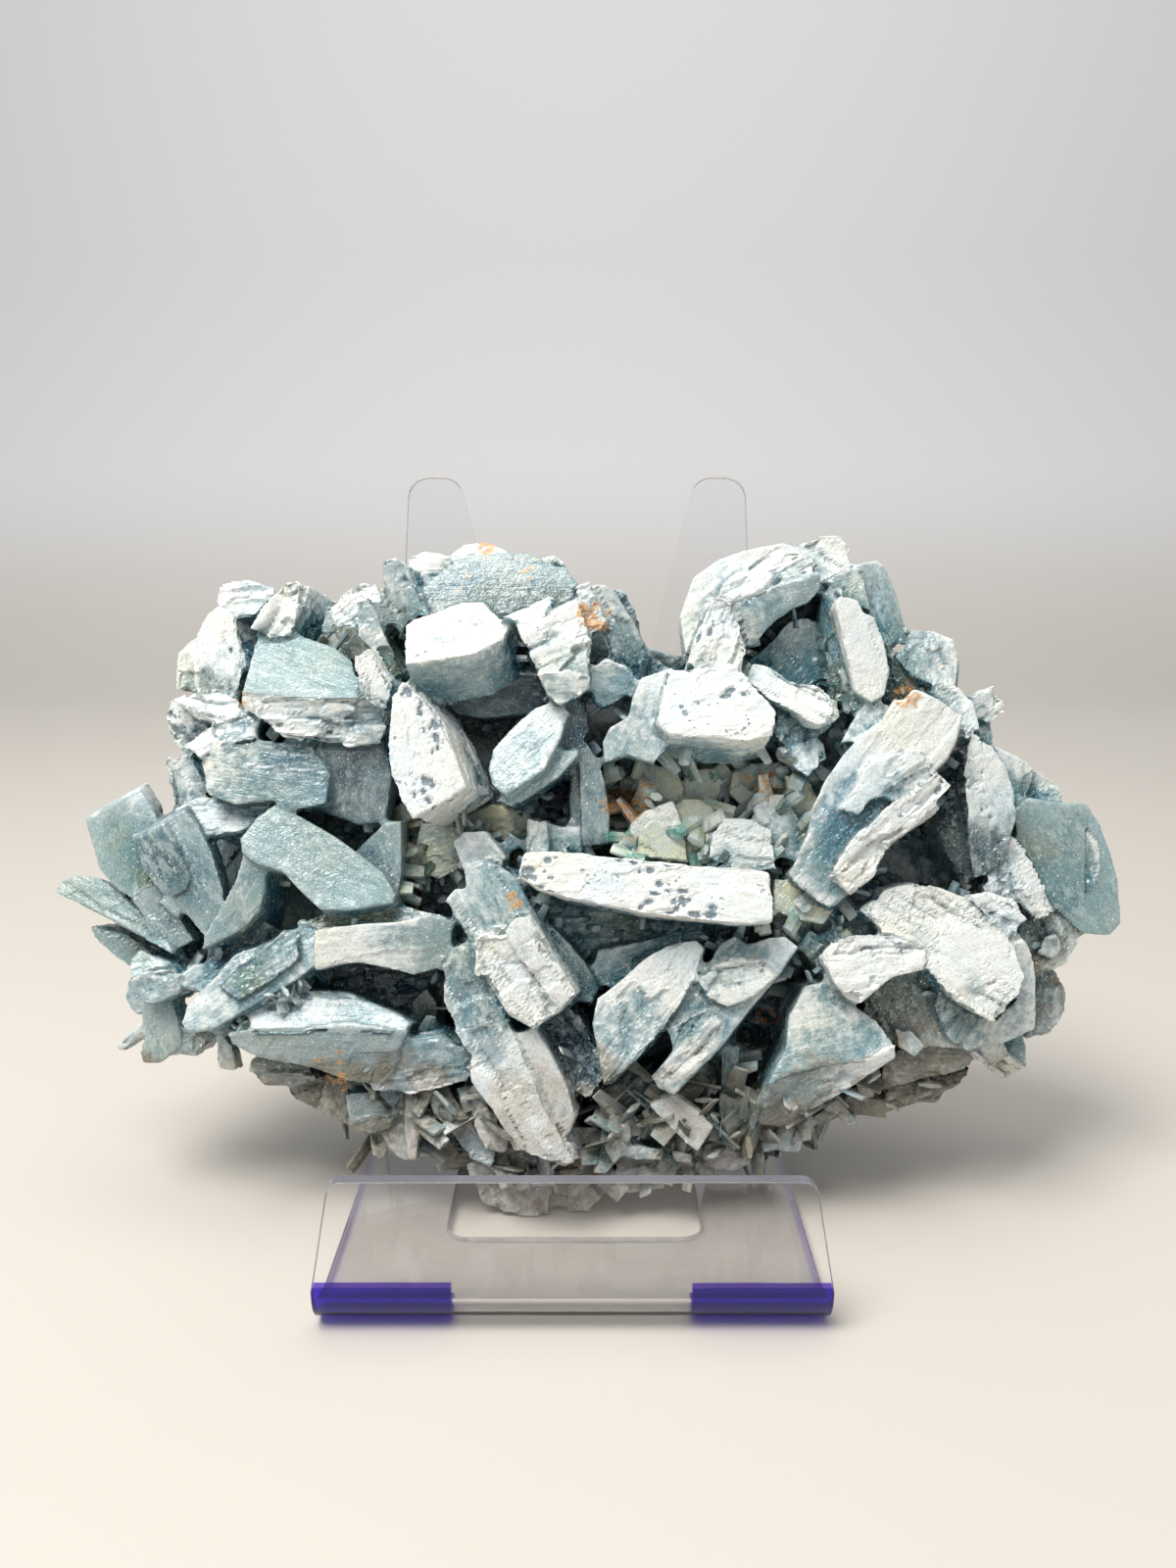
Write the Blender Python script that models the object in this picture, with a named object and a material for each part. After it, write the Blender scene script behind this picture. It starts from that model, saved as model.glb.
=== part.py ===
"""A cluster of blue barite crystals leaning in a clear acrylic easel.

The model stands on z = 0 with its front to -Y. Its origin is on the underside of the easel's front strip,
midway across. Crystals are given in millimetres on a drawing plane that leans back with the cluster:
u runs to the right, v up along the plane and w out of it, towards the front. Each outline is drawn as it
appears from SIGHT_DISTANCE in front of the plane, so a crystal that stands nearer is brought to its real size.
"""

import math
import random

import bmesh
import bpy
from mathutils import Matrix, Vector, noise

MM = 0.001

# The drawing plane of the cluster, in millimetres and degrees
PLANE_CENTRE = Vector((3.0, 48.7, 96.4))
PLANE_LEAN = 10.9
SIGHT_DISTANCE = 297.0

# The easel, bent from one sheet
SHEET = 3.0
STRIP_HALF_WIDTH = 50.5
LIP_TOP_HALF_WIDTH = 46.5
LIP_HEIGHT = 32.0
LIP_FRONT = -16.0
BEND_RADIUS = 9.0
HEEL_BACK = 74.0
PANEL_LEAN = 15.0
PANEL_HEIGHT = 167.0
PANEL_TOP_HALF_WIDTH = 45.3
HEEL_RADIUS = 10.0
WINDOW_HALF_WIDTH = 28.0
WINDOW_FRONT = 16.0
WINDOW_BACK = 58.0
WINDOW_CORNER = 5.0
PRONG_WIDTH = 13.4
NOTCH_DEPTH = 118.0
NOTCH_FOOT_RADIUS = 6.0
CORNER_RADIUS = 3.0
BEND_STEPS = 6

# Clearance between the stone and the easel
REST_GAP = 0.3

# The matrix behind the crystals: a lumpy pillow, its reach given every 15 degrees, from +u turning to +v
MATRIX_CENTRE = (0.0, -18.0)
MATRIX_REACH = (98, 96, 90, 80, 62, 46, 58, 64, 72, 84, 92, 94, 96, 98, 90, 80, 72, 65, 62, 63, 68, 76, 88, 96)
MATRIX_FRONT = -12.0
MATRIX_BACK = -34.0
BACK_SLOPE = 0.07
MATRIX_SEED = 11
BACK_PLATES = 40
GOLDEN_TURN = 2.39996
PRONG_PLATES = ((-36.0, 43.0), (41.0, 38.0))
PRONG_PLATE_DEPTH = -42.5


def plane_axes():
    lean = math.radians(PLANE_LEAN)
    right = Vector((1, 0, 0))
    up = Vector((0, math.sin(lean), math.cos(lean)))
    return right, up, right.cross(up)


RIGHT, UP, FRONT = plane_axes()


def placed(u, v, w):
    """The point of the model, in millimetres, at u, v, w of the drawing plane."""
    return PLANE_CENTRE + RIGHT * u + UP * v + FRONT * w


def seen(u, v, w):
    """The same for a point whose u and v are drawn as they appear on the plane."""
    nearer = 1 - w / SIGHT_DISTANCE
    return placed(u * nearer, v * nearer, w)


def on_face(u, v, centre, out, lean):
    """The depth at which the sight line through u, v meets a face with the given slopes."""
    cu, cv = centre
    nearer = 1 - out / SIGHT_DISTANCE
    rise = out - lean[0] * cu * nearer - lean[1] * cv * nearer
    slope = lean[0] * u + lean[1] * v
    return (rise + slope) / (1 + slope / SIGHT_DISTANCE)


def crystal(outline, out, lean=(0, 0), run=(0, 0, -14)):
    """A crystal as a prism. Its front face fills the outline, stands out by the given depth at the middle
    and gains lean[0] for each millimetre to the right and lean[1] for each upwards. The prism runs back
    from that face by the vector run, in u, v and w."""
    centre = (sum(p[0] for p in outline) / len(outline), sum(p[1] for p in outline) / len(outline))
    back = RIGHT * run[0] + UP * run[1] + FRONT * run[2]
    bm = bmesh.new()
    front_face = bm.faces.new([
        bm.verts.new(seen(u, v, on_face(u, v, centre, out, lean)) * MM) for u, v in outline
    ])
    extruded = bmesh.ops.extrude_face_region(bm, geom=[front_face], use_keep_orig=True)
    moved = [e for e in extruded["geom"] if isinstance(e, bmesh.types.BMVert)]
    bmesh.ops.translate(bm, vec=back * MM, verts=moved)
    bmesh.ops.recalc_face_normals(bm, faces=bm.faces[:])
    return bm


def upper_left_crystals():
    return [
        crystal([(-85.5, 42), (-84.5, 46), (-80.5, 47.3), (-76.5, 46.6), (-72, 45.5), (-71.5, 43.5),
                 (-76, 38.5), (-80, 38), (-83.5, 39.5)], -4, (0, -0.5), (1, -3, -20)),
        crystal([(-78, 35.5), (-75, 40.5), (-70.5, 46), (-67.5, 47.2), (-65, 46.5), (-66, 41), (-68, 34),
                 (-73, 33)], 0, (-0.1, -0.2), (6, -3, -18)),
        crystal([(-79.5, 20.5), (-75.5, 35), (-69, 35.3), (-58, 31.5), (-54, 28.5), (-51.5, 19.5)],
                4, (0, -0.85), (0, -6, -12)),
        crystal([(-79.5, 21), (-62, 19.3), (-46, 19.8), (-44.8, 16), (-47.5, 8.5), (-60, 8), (-70, 10.5),
                 (-76, 15), (-79.5, 17.8)], 11, (0, 0.15), (0, 0, -24)),
        crystal([(-94.8, 21.5), (-94.5, 30), (-90, 34), (-87, 39.5), (-84, 41), (-81, 38.5), (-79.5, 31),
                 (-78.5, 27.5), (-80.5, 20), (-87, 21)], -1, (0.3, -0.15), (5, -1, -22)),
        crystal([(-95.5, 19.5), (-91, 21.5), (-85, 21.2), (-80.5, 19.6), (-78, 16.5), (-82, 15), (-86, 13.8),
                 (-91, 15.5)], 4, (0, -0.5), (3, -3, -20)),
        crystal([(-96, 20), (-97.3, 16), (-96.5, 11.5), (-94.5, 8), (-90, 8), (-86, 13), (-91, 17.5)],
                0, (0.2, 0.1), (5, 0, -20)),
        crystal([(-93.5, 8.3), (-88, 12.8), (-78, 16), (-75, 14), (-76, 9.8), (-86, 8.5), (-88.5, 4.8),
                 (-90.5, 7.3)], 7, (0, -0.4), (1, -2, -16)),
        crystal([(-88.8, 4.8), (-86, 9.8), (-77, 10.8), (-70, 9.8), (-62, 7.5), (-58.8, 2.5), (-60, -4.5),
                 (-66, -6), (-72, -4), (-81, -4.8), (-87.5, -2.5)], 8, (-0.05, -0.15), (1, -2, -18)),
        crystal([(-62, 9), (-46, 9.5), (-44.8, 2), (-46.3, -8.7), (-52, -9.7), (-61.5, -6.5)],
                5, (0, 0.25), (0, 0, -20)),
        crystal([(-97.7, 5.3), (-96, 6.5), (-94.7, 4.7), (-93.5, 8), (-91, 6), (-89, 2), (-87.3, -2),
                 (-92, -4.7), (-96, -5), (-97, -1)], 0, (0.25, 0), (6, 0, -18)),
        crystal([(-95, -5.3), (-90, -3), (-83.5, -2.6), (-80, -4.4), (-72.3, -4.6), (-74, -7.5), (-79.5, -11),
                 (-86, -12), (-91.5, -7.5)], 4, (0, -0.5), (3, -4, -15)),
    ]


def left_fan_crystals():
    return [
        crystal([(-98, -30), (-84, -28), (-81, -42), (-97, -46)], -4, (0, 0), (2, 0, -12)),
        crystal([(-115.3, -8), (-102.8, -1), (-99, -7), (-98.5, -22), (-104.5, -26.3), (-108, -24.3),
                 (-112, -19.5)], 3, (0.15, 0), (-1, 1.7, -9)),
        crystal([(-104.8, -12), (-92.5, -5.8), (-89.5, -9.5), (-86, -16), (-83.5, -24.5), (-83, -29.5),
                 (-87.5, -35.3), (-92, -30), (-96, -26), (-98, -25.3), (-101.7, -19)],
                8, (0.15, 0), (-1, 1.8, -9)),
        crystal([(-104, -12.3), (-97, -8.8), (-93.5, -15), (-91, -21.5), (-92, -24.3), (-94.5, -25.7),
                 (-98, -25), (-102, -19.5)], 8.6, (0.15, 0), (0, 0, -4)),
        crystal([(-98.5, -27), (-96, -25), (-93, -29.5), (-94, -31)], 8, (0.2, 0.2), (0, 0, -10)),
        crystal([(-105, -26.3), (-99, -23), (-95.5, -28), (-92.5, -32), (-90.3, -36), (-95, -38.3),
                 (-99.5, -35.8), (-102, -30.5)], 5, (0.1, 0.1), (3, 1, -13)),
        crystal([(-122.3, -25), (-121.3, -22), (-117.5, -20.7), (-112, -21.3), (-107, -24.3), (-101, -31),
                 (-96.5, -36), (-94.8, -39.3), (-101, -36), (-110, -31), (-118, -27)],
                1, (0.12, -0.35), (4, -3.2, -9)),
        crystal([(-114.6, -32.3), (-114, -35), (-110.5, -38), (-105.5, -41.8), (-102, -42.5), (-98, -40),
                 (-106, -34)], -3, (0.1, 0.1), (5, 0, -9)),
        crystal([(-79, -15.6), (-73.5, -19.3), (-73.8, -24), (-75, -29), (-79.5, -33.7), (-88.8, -38),
                 (-88, -34.5), (-84, -27.5), (-81, -22)], 12, (-0.15, 0.1), (2, -4, -16)),
        crystal([(-77.5, -31), (-73.5, -31.7), (-72.6, -35.5), (-80, -38.8), (-87.5, -41.3), (-87.5, -38),
                 (-80, -33)], 5, (0, 0), (1, -1, -12)),
        crystal([(-80, -12.5), (-76, -7.5), (-72, -4.7), (-66, -7.2), (-58, -11.8), (-52.7, -15.6),
                 (-47, -20), (-43.8, -25), (-44.3, -27.3), (-55, -29), (-61.5, -28.7), (-67, -23.7),
                 (-70, -20.2), (-76, -18.3), (-79.5, -15.5)], 13, (-0.12, -0.3), (0, -4, -16)),
        crystal([(-54, -16), (-46.5, -8.6), (-42.7, -8.5), (-42.6, -20), (-43.6, -27), (-50, -24)],
                6, (0.1, 0), (0, 0, -18)),
        crystal([(-67.3, -31.2), (-60, -29), (-52, -28), (-43, -27.2), (-38.5, -28.8), (-33.5, -29.8),
                 (-31, -31.5), (-32, -38), (-58, -36)], 10, (0, -0.4), (1, -3, -14)),
        crystal([(-63, -33.2), (-51, -31.8), (-44, -31.5), (-37.5, -29.9), (-33, -30.1), (-30.8, -32),
                 (-31.2, -38), (-34, -42.2), (-40, -43.9), (-46, -42.4), (-53, -41), (-58, -41.5),
                 (-62.7, -43)], 14, (-0.1, 0.1), (1, -2, -16)),
        crystal([(-93.3, -55), (-92.8, -51.5), (-89.5, -47.5), (-85.5, -44), (-81, -38.5), (-74, -35.8),
                 (-70, -33), (-65, -32), (-61.7, -33.5), (-62.2, -41.3), (-67, -45), (-74.5, -49.5),
                 (-81, -53.5), (-85, -55.8), (-91.5, -57.2)], 13, (0.05, -0.25), (2, -2, -12)),
        crystal([(-84.5, -46.5), (-79.5, -41.5), (-73.5, -38), (-66.5, -35), (-66, -40), (-73, -45.5),
                 (-80, -50)], 14.6, (0.05, -0.2), (0, 0, -5)),
        crystal([(-94, -43.5), (-90, -41.2), (-84, -41), (-80, -37.3), (-74, -35.8), (-80, -44), (-88, -48.3),
                 (-93, -47)], 8, (0, -0.3), (1, -1, -14)),
        crystal([(-105.3, -44.7), (-102, -42.8), (-96, -41.6), (-92.6, -44), (-93.7, -48), (-98.5, -50.5),
                 (-102.5, -50.2)], 8, (0.1, 0.1), (3, -1, -15)),
        crystal([(-105.3, -40.5), (-103, -37.8), (-98.5, -39.5), (-94, -41), (-95, -44), (-104.8, -44)],
                4, (0, -0.4), (3, -1, -12)),
        crystal([(-102.4, -49.5), (-95.5, -48.5), (-93.8, -54), (-93.6, -60), (-98, -64.2), (-102.3, -64.2),
                 (-102.6, -60), (-101.3, -57.5), (-102.5, -54)], 3, (0, 0.1), (1, 1, -6)),
        crystal([(-106.4, -48), (-105, -43.7), (-102, -44), (-101, -52), (-103.3, -53.7), (-105.6, -51.2)],
                -1, (0.2, 0), (4, 0, -10)),
        crystal([(-108.4, -60), (-105.5, -57.2), (-101.5, -54), (-101, -57.5), (-106, -61.3), (-108, -61.3)],
                0, (0.1, 0.1), (1, 0, -5)),
        crystal([(-94.5, -56), (-90.5, -55.5), (-87.8, -59.5), (-90, -62.8), (-95.5, -62.3)],
                2, (0.1, 0.1), (1, 0, -12)),
        crystal([(-86.9, -54.5), (-83.2, -54), (-82.9, -58.5), (-81.5, -60), (-80.3, -66), (-84.8, -65.5),
                 (-85.9, -60)], 6, (0, 0.1), (0.5, 0.5, -6)),
    ]


def upper_middle_crystals():
    return [
        crystal([(-53.5, 42), (-50.5, 43.5), (-48.5, 40.5), (-46, 33), (-41.8, 25), (-44.5, 23.3),
                 (-49.5, 30.5), (-53, 34)], 7, (-0.1, 0.05), (3, -1, -18)),
        crystal([(-47.7, 51.8), (-44, 52.2), (-41.5, 51), (-38.3, 43), (-36.5, 39), (-41, 37), (-43, 32.5),
                 (-47.8, 40), (-48, 46)], 5, (-0.15, 0.05), (3, -1.5, -18)),
        crystal([(-58.8, 40), (-57, 43.3), (-52.5, 47), (-49, 46.8), (-46.5, 42), (-52, 36), (-58.5, 36.3)],
                -2, (0, -0.3), (1, -2, -20)),
        crystal([(-60.7, 41), (-59.3, 41.9), (-58.3, 36), (-57, 31.5), (-61.5, 32)], -2, (0, 0.1), (0, 0, -14)),
        crystal([(-58, 37), (-52, 36), (-48, 31), (-52, 27), (-57, 30)], -1, (0, 0.1), (0, 0, -14)),
        crystal([(-54, 29.3), (-50, 31.5), (-47, 27), (-43.8, 23), (-45.3, 17.7), (-47.5, 16.5), (-52.3, 20),
                 (-53.6, 25)], 12, (-0.1, -0.05), (3, -1, -20)),
        crystal([(-42, 52), (-37.5, 53.5), (-33, 52.8), (-30, 52), (-32, 47), (-37, 44.5), (-40, 46)],
                -5, (0, -0.3), (0, -2, -16)),
        crystal([(-31.7, 52.3), (-29.5, 54.6), (-26, 55.6), (-22.5, 55.5), (-18.5, 53.6), (-15, 49),
                 (-30, 48)], -6, (0, -0.4), (0, -3, -16)),
        crystal([(-11.5, 51.5), (-8, 52.8), (-5.5, 51.5), (-3.8, 47.5), (-10, 44)], -7, (0, -0.2), (0, -2, -14)),
        crystal([(-37.7, 45.5), (-33, 49.3), (-29, 51.9), (-21, 53), (-14.5, 53.3), (-11.3, 52.5),
                 (-8.8, 50.2), (-5.3, 49.8), (-2.3, 46.2), (-1.5, 42), (-9, 40), (-24, 37), (-36, 37)],
                1, (0, -0.3), (0, -4, -20)),
        crystal([(-42, 36.8), (-39.5, 38.4), (-34, 40.1), (-29.5, 41.4), (-24, 41.5), (-21, 39),
                 (-17.3, 37.3), (-19.5, 33.3), (-26, 30), (-34, 28.5), (-42.4, 27.6)],
                9, (0, -0.95), (3, -9, -9)),
        crystal([(-16.5, 36), (-9, 38.5), (-1.7, 42.6), (-0.2, 37), (1.6, 31.5), (0.2, 24), (-9, 23.8),
                 (-12.5, 26.5), (-14.5, 31)], 13, (0.05, -0.15), (-1, 4.5, -20)),
        crystal([(-20.3, 38.2), (-13, 41.2), (-9, 43.6), (-7.3, 42.5), (-12, 36.5)], 9, (0, -0.6), (0, -3, -14)),
        crystal([(-2.4, 43), (0, 45.4), (2.2, 42.5), (4.5, 37), (3, 35), (0.8, 34.2), (-0.8, 38.5)],
                10, (-0.1, -0.1), (1, 2, -18)),
        crystal([(-3.2, 45.5), (0.8, 46.8), (3.5, 45), (1, 41), (-3, 42)], 5, (0, -0.3), (0, -1, -16)),
        crystal([(1, 46), (4.5, 45.7), (9.5, 38.6), (13.9, 30.3), (12.6, 25.3), (11.7, 22.5), (8, 20.5),
                 (4, 24), (4, 31), (2.5, 35), (1.5, 40)], 6, (-0.45, 0), (2, 0, -16)),
        crystal([(5, 45), (8, 44.6), (11.5, 40), (12.4, 34.5), (9, 34), (4, 41)], -5, (0, 0), (0, 0, -14)),
        crystal([(11, 31.5), (14.5, 29.5), (19.7, 26.1), (14, 22), (9, 25)], -6, (0, -0.2), (0, 0, -12)),
        crystal([(-12, 25.5), (-4, 26), (0.8, 24.5), (0.2, 21.3), (-3, 19.3), (-6.5, 17.6), (-9.7, 20.2)],
                14, (0, 0.2), (0, 1, -18)),
        crystal([(0, 26.5), (4, 29), (9.3, 27), (12, 23), (9.7, 20.6), (4, 16.8), (1, 18.3)],
                9, (-0.15, 0.25), (0, 1, -18)),
        crystal([(-38, 27), (-12, 27), (-9, 20), (-12, 16), (-24, 15), (-30, 16), (-36, 21)],
                -3, (0, 0.2), (0, 0, -16)),
        crystal([(-45.3, 20), (-43, 24.4), (-41, 23.2), (-36, 17.3), (-33, 12.5), (-30.3, 6.5),
                 (-27.6, -0.8), (-34, -5), (-40.5, -8.2), (-43.5, -3), (-45.8, 2.5), (-46.1, 11)],
                17, (0.05, -0.1), (5, -2.5, -18)),
        crystal([(-23.2, 3.5), (-22, 8), (-18, 12.5), (-12.5, 17.5), (-7, 19.5), (-4.3, 16.5), (-6, 11),
                 (-10, 3.3), (-15, -0.2), (-19, -2.7), (-22, -0.2)], 12, (0.1, -0.35), (2, -4, -18)),
        crystal([(-5.5, 16.5), (-3, 19.7), (-0.4, 18.2), (0.3, 12), (-2.3, 7.8), (-7.5, 7)],
                7, (-0.2, 0), (0, 0, -14)),
        crystal([(-8, 8), (-3, 8.5), (-2, 6.8), (-6.3, 1.8), (-12, -2.2), (-17, -5.5), (-21.3, -4),
                 (-18, -1), (-12, 2)], 10, (0.1, -0.1), (1, -1, -18)),
        crystal([(-2.1, 7.5), (0, 9), (2.3, 6.2), (4.1, 0.5), (5.1, -7), (5.1, -13.7), (-1.3, -14.7),
                 (-1.8, -6)], 6, (-0.15, 0.1), (0, 0, -16)),
        crystal([(-3.5, 5.5), (-1.5, 6), (-1, -4), (-1, -12.8), (-4.3, -11.7), (-4.8, -3)],
                4, (0.2, 0.1), (0, 0, -14)),
        crystal([(-20, -13.5), (-18, -10.7), (-15.3, -12.5), (-15.3, -14.8), (-18, -16.2)],
                3, (0.1, 0), (0, 0, -14)),
        crystal([(-38.5, -9), (-30, -8), (-22, -4.5), (-14, -6), (-9, -12), (-16, -20), (-24, -16),
                 (-34, -22), (-41, -20)], -5, (0, -0.1), (0, 0, -10)),
    ]


def upper_right_crystals():
    return [
        crystal([(37, 32), (39, 46), (46, 51), (55, 48), (57, 33)], -9, (0, 0), (0, 0, -12)),
        crystal([(20.8, 38.5), (22, 42), (24, 47.6), (30, 51.9), (38, 54.2), (45, 55.4), (52, 53),
                 (40, 44), (28, 32), (22, 30)], -4, (0, -0.1), (1, -2, -18)),
        crystal([(29, 43), (31.5, 47), (38, 52), (43, 54.9), (49, 54.6), (52.7, 51.5), (53.3, 48.3),
                 (45, 45.5), (38, 42.5), (33, 41)], 9, (0, -0.55), (1, -3, -18)),
        crystal([(32.5, 42), (38, 43.3), (45, 46.3), (53.2, 48.8), (53.7, 45), (50.7, 41.3), (47, 39.7),
                 (44, 37.8), (41, 35.3), (38, 31.5), (34, 31), (32, 37)], 10, (-0.2, 0.3), (0, 1, -20)),
        crystal([(22.3, 27.3), (24.5, 34.5), (28, 41.7), (30, 44.3), (34, 42), (35.5, 36), (37, 31.5),
                 (36, 26), (29, 26.2)], 12, (0.12, -0.1), (1, 0, -24)),
        crystal([(46, 54), (48.5, 55.9), (53, 57.2), (58, 57.1), (60.5, 54.5), (60.3, 50), (57, 47),
                 (52, 45), (51, 51)], 1, (0, -0.1), (0, -2, -18)),
        crystal([(61, 50.4), (66.2, 51.4), (68.2, 49.5), (70.7, 43.5), (72.9, 35.5), (71.5, 32.5),
                 (68, 31), (65, 36.5), (63, 39.5), (60, 45)], 1, (-0.15, 0.05), (1, -1, -15)),
        crystal([(54, 46.7), (59, 49.2), (63, 48.8), (65, 39.5), (62, 40), (57, 44)],
                4, (0, 0), (0, -1, -16)),
        crystal([(56.3, 41), (57.5, 43.3), (61.9, 42.5), (63.2, 39.2), (65.6, 38.7), (68.2, 32.5),
                 (69.5, 26), (68.2, 20.3), (65, 18.3), (61, 21), (59, 30)], 11, (-0.1, 0), (0, -1, -20)),
        crystal([(52.8, 43.5), (54.5, 46), (58.5, 45), (58.8, 41), (60.5, 30), (62.5, 21), (65.5, 18.3),
                 (60, 16.2), (55.3, 19), (53.3, 27), (52, 36)], 5.5, (0.5, 0), (1, 0, -16)),
        crystal([(36.3, 28), (41, 32.3), (46, 37.5), (50.5, 38.5), (54.5, 34), (55.5, 22), (46, 23),
                 (39, 25)], 2, (0, 0.15), (0, 0, -16)),
        crystal([(35.8, 24), (37.5, 27.9), (43, 26.7), (48.5, 24.5), (54, 23.5), (57.3, 20), (58.3, 15.8),
                 (55.5, 13.2), (51, 13.8), (46, 17), (41.5, 19)], 11, (0, -0.35), (0, -3, -18)),
        crystal([(44.3, 9), (46, 12.7), (48.5, 15.2), (51.7, 13.2), (55.9, 6.5), (50.5, 1.3), (46.3, 4.3)],
                7, (0.1, -0.3), (0, -1, -18)),
        crystal([(42, 14), (44, 18.5), (47, 14), (45, 9.5), (42.5, 10)], 6, (0, 0), (0, 0, -16)),
        crystal([(15.5, 14), (18.3, 26.6), (28, 27), (36, 26), (38.2, 22.5), (43.6, 17), (42.8, 11.2),
                 (37, 9.8), (27, 10.2), (19, 11)], 17, (0, -0.3), (-1, -5, -18)),
        crystal([(3.2, 9.5), (5, 13.2), (9, 15.2), (10, 20), (12, 24.5), (19.2, 27), (19, 19), (19, 9),
                 (15, 4.6), (9, 6.3), (3.7, 4.8)], 12, (0.2, 0), (0, -0.5, -18)),
        crystal([(57.3, 9), (60, 13.7), (62.5, 17.7), (66, 19.5), (68.7, 18.5), (66.5, 14), (62.5, 10.5),
                 (60.3, 9.5)], 9, (0, -0.1), (0.5, -1, -16)),
        crystal([(71.3, 31), (73.5, 36), (79, 35.2), (84, 33.2), (85, 29), (84.3, 22), (79.5, 22),
                 (74, 24.5), (70, 29)], 3, (-0.05, -0.25), (5, -1, -17)),
        crystal([(68, 32.5), (72.5, 29), (80, 22), (74, 17.5), (68, 18.5), (69, 26)], 1, (0, 0), (0, 0, -15)),
        crystal([(78, 21), (80, 23.3), (85, 22.2), (88.5, 19.7), (89.4, 15.5), (90, 12.3), (85, 12),
                 (81, 17)], 6, (0, -0.1), (0.5, -1, -18)),
        crystal([(87.5, 20.3), (93, 22.8), (94.8, 20.7), (96.4, 16.8), (92, 13.7), (88, 14.5)],
                -2, (-0.1, 0), (0, 0, -13)),
        crystal([(88, 15.5), (92.2, 14.8), (93.3, 11), (92.7, 8.5), (89, 9)], -4, (0, 0), (0, 0, -10)),
    ]


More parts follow.
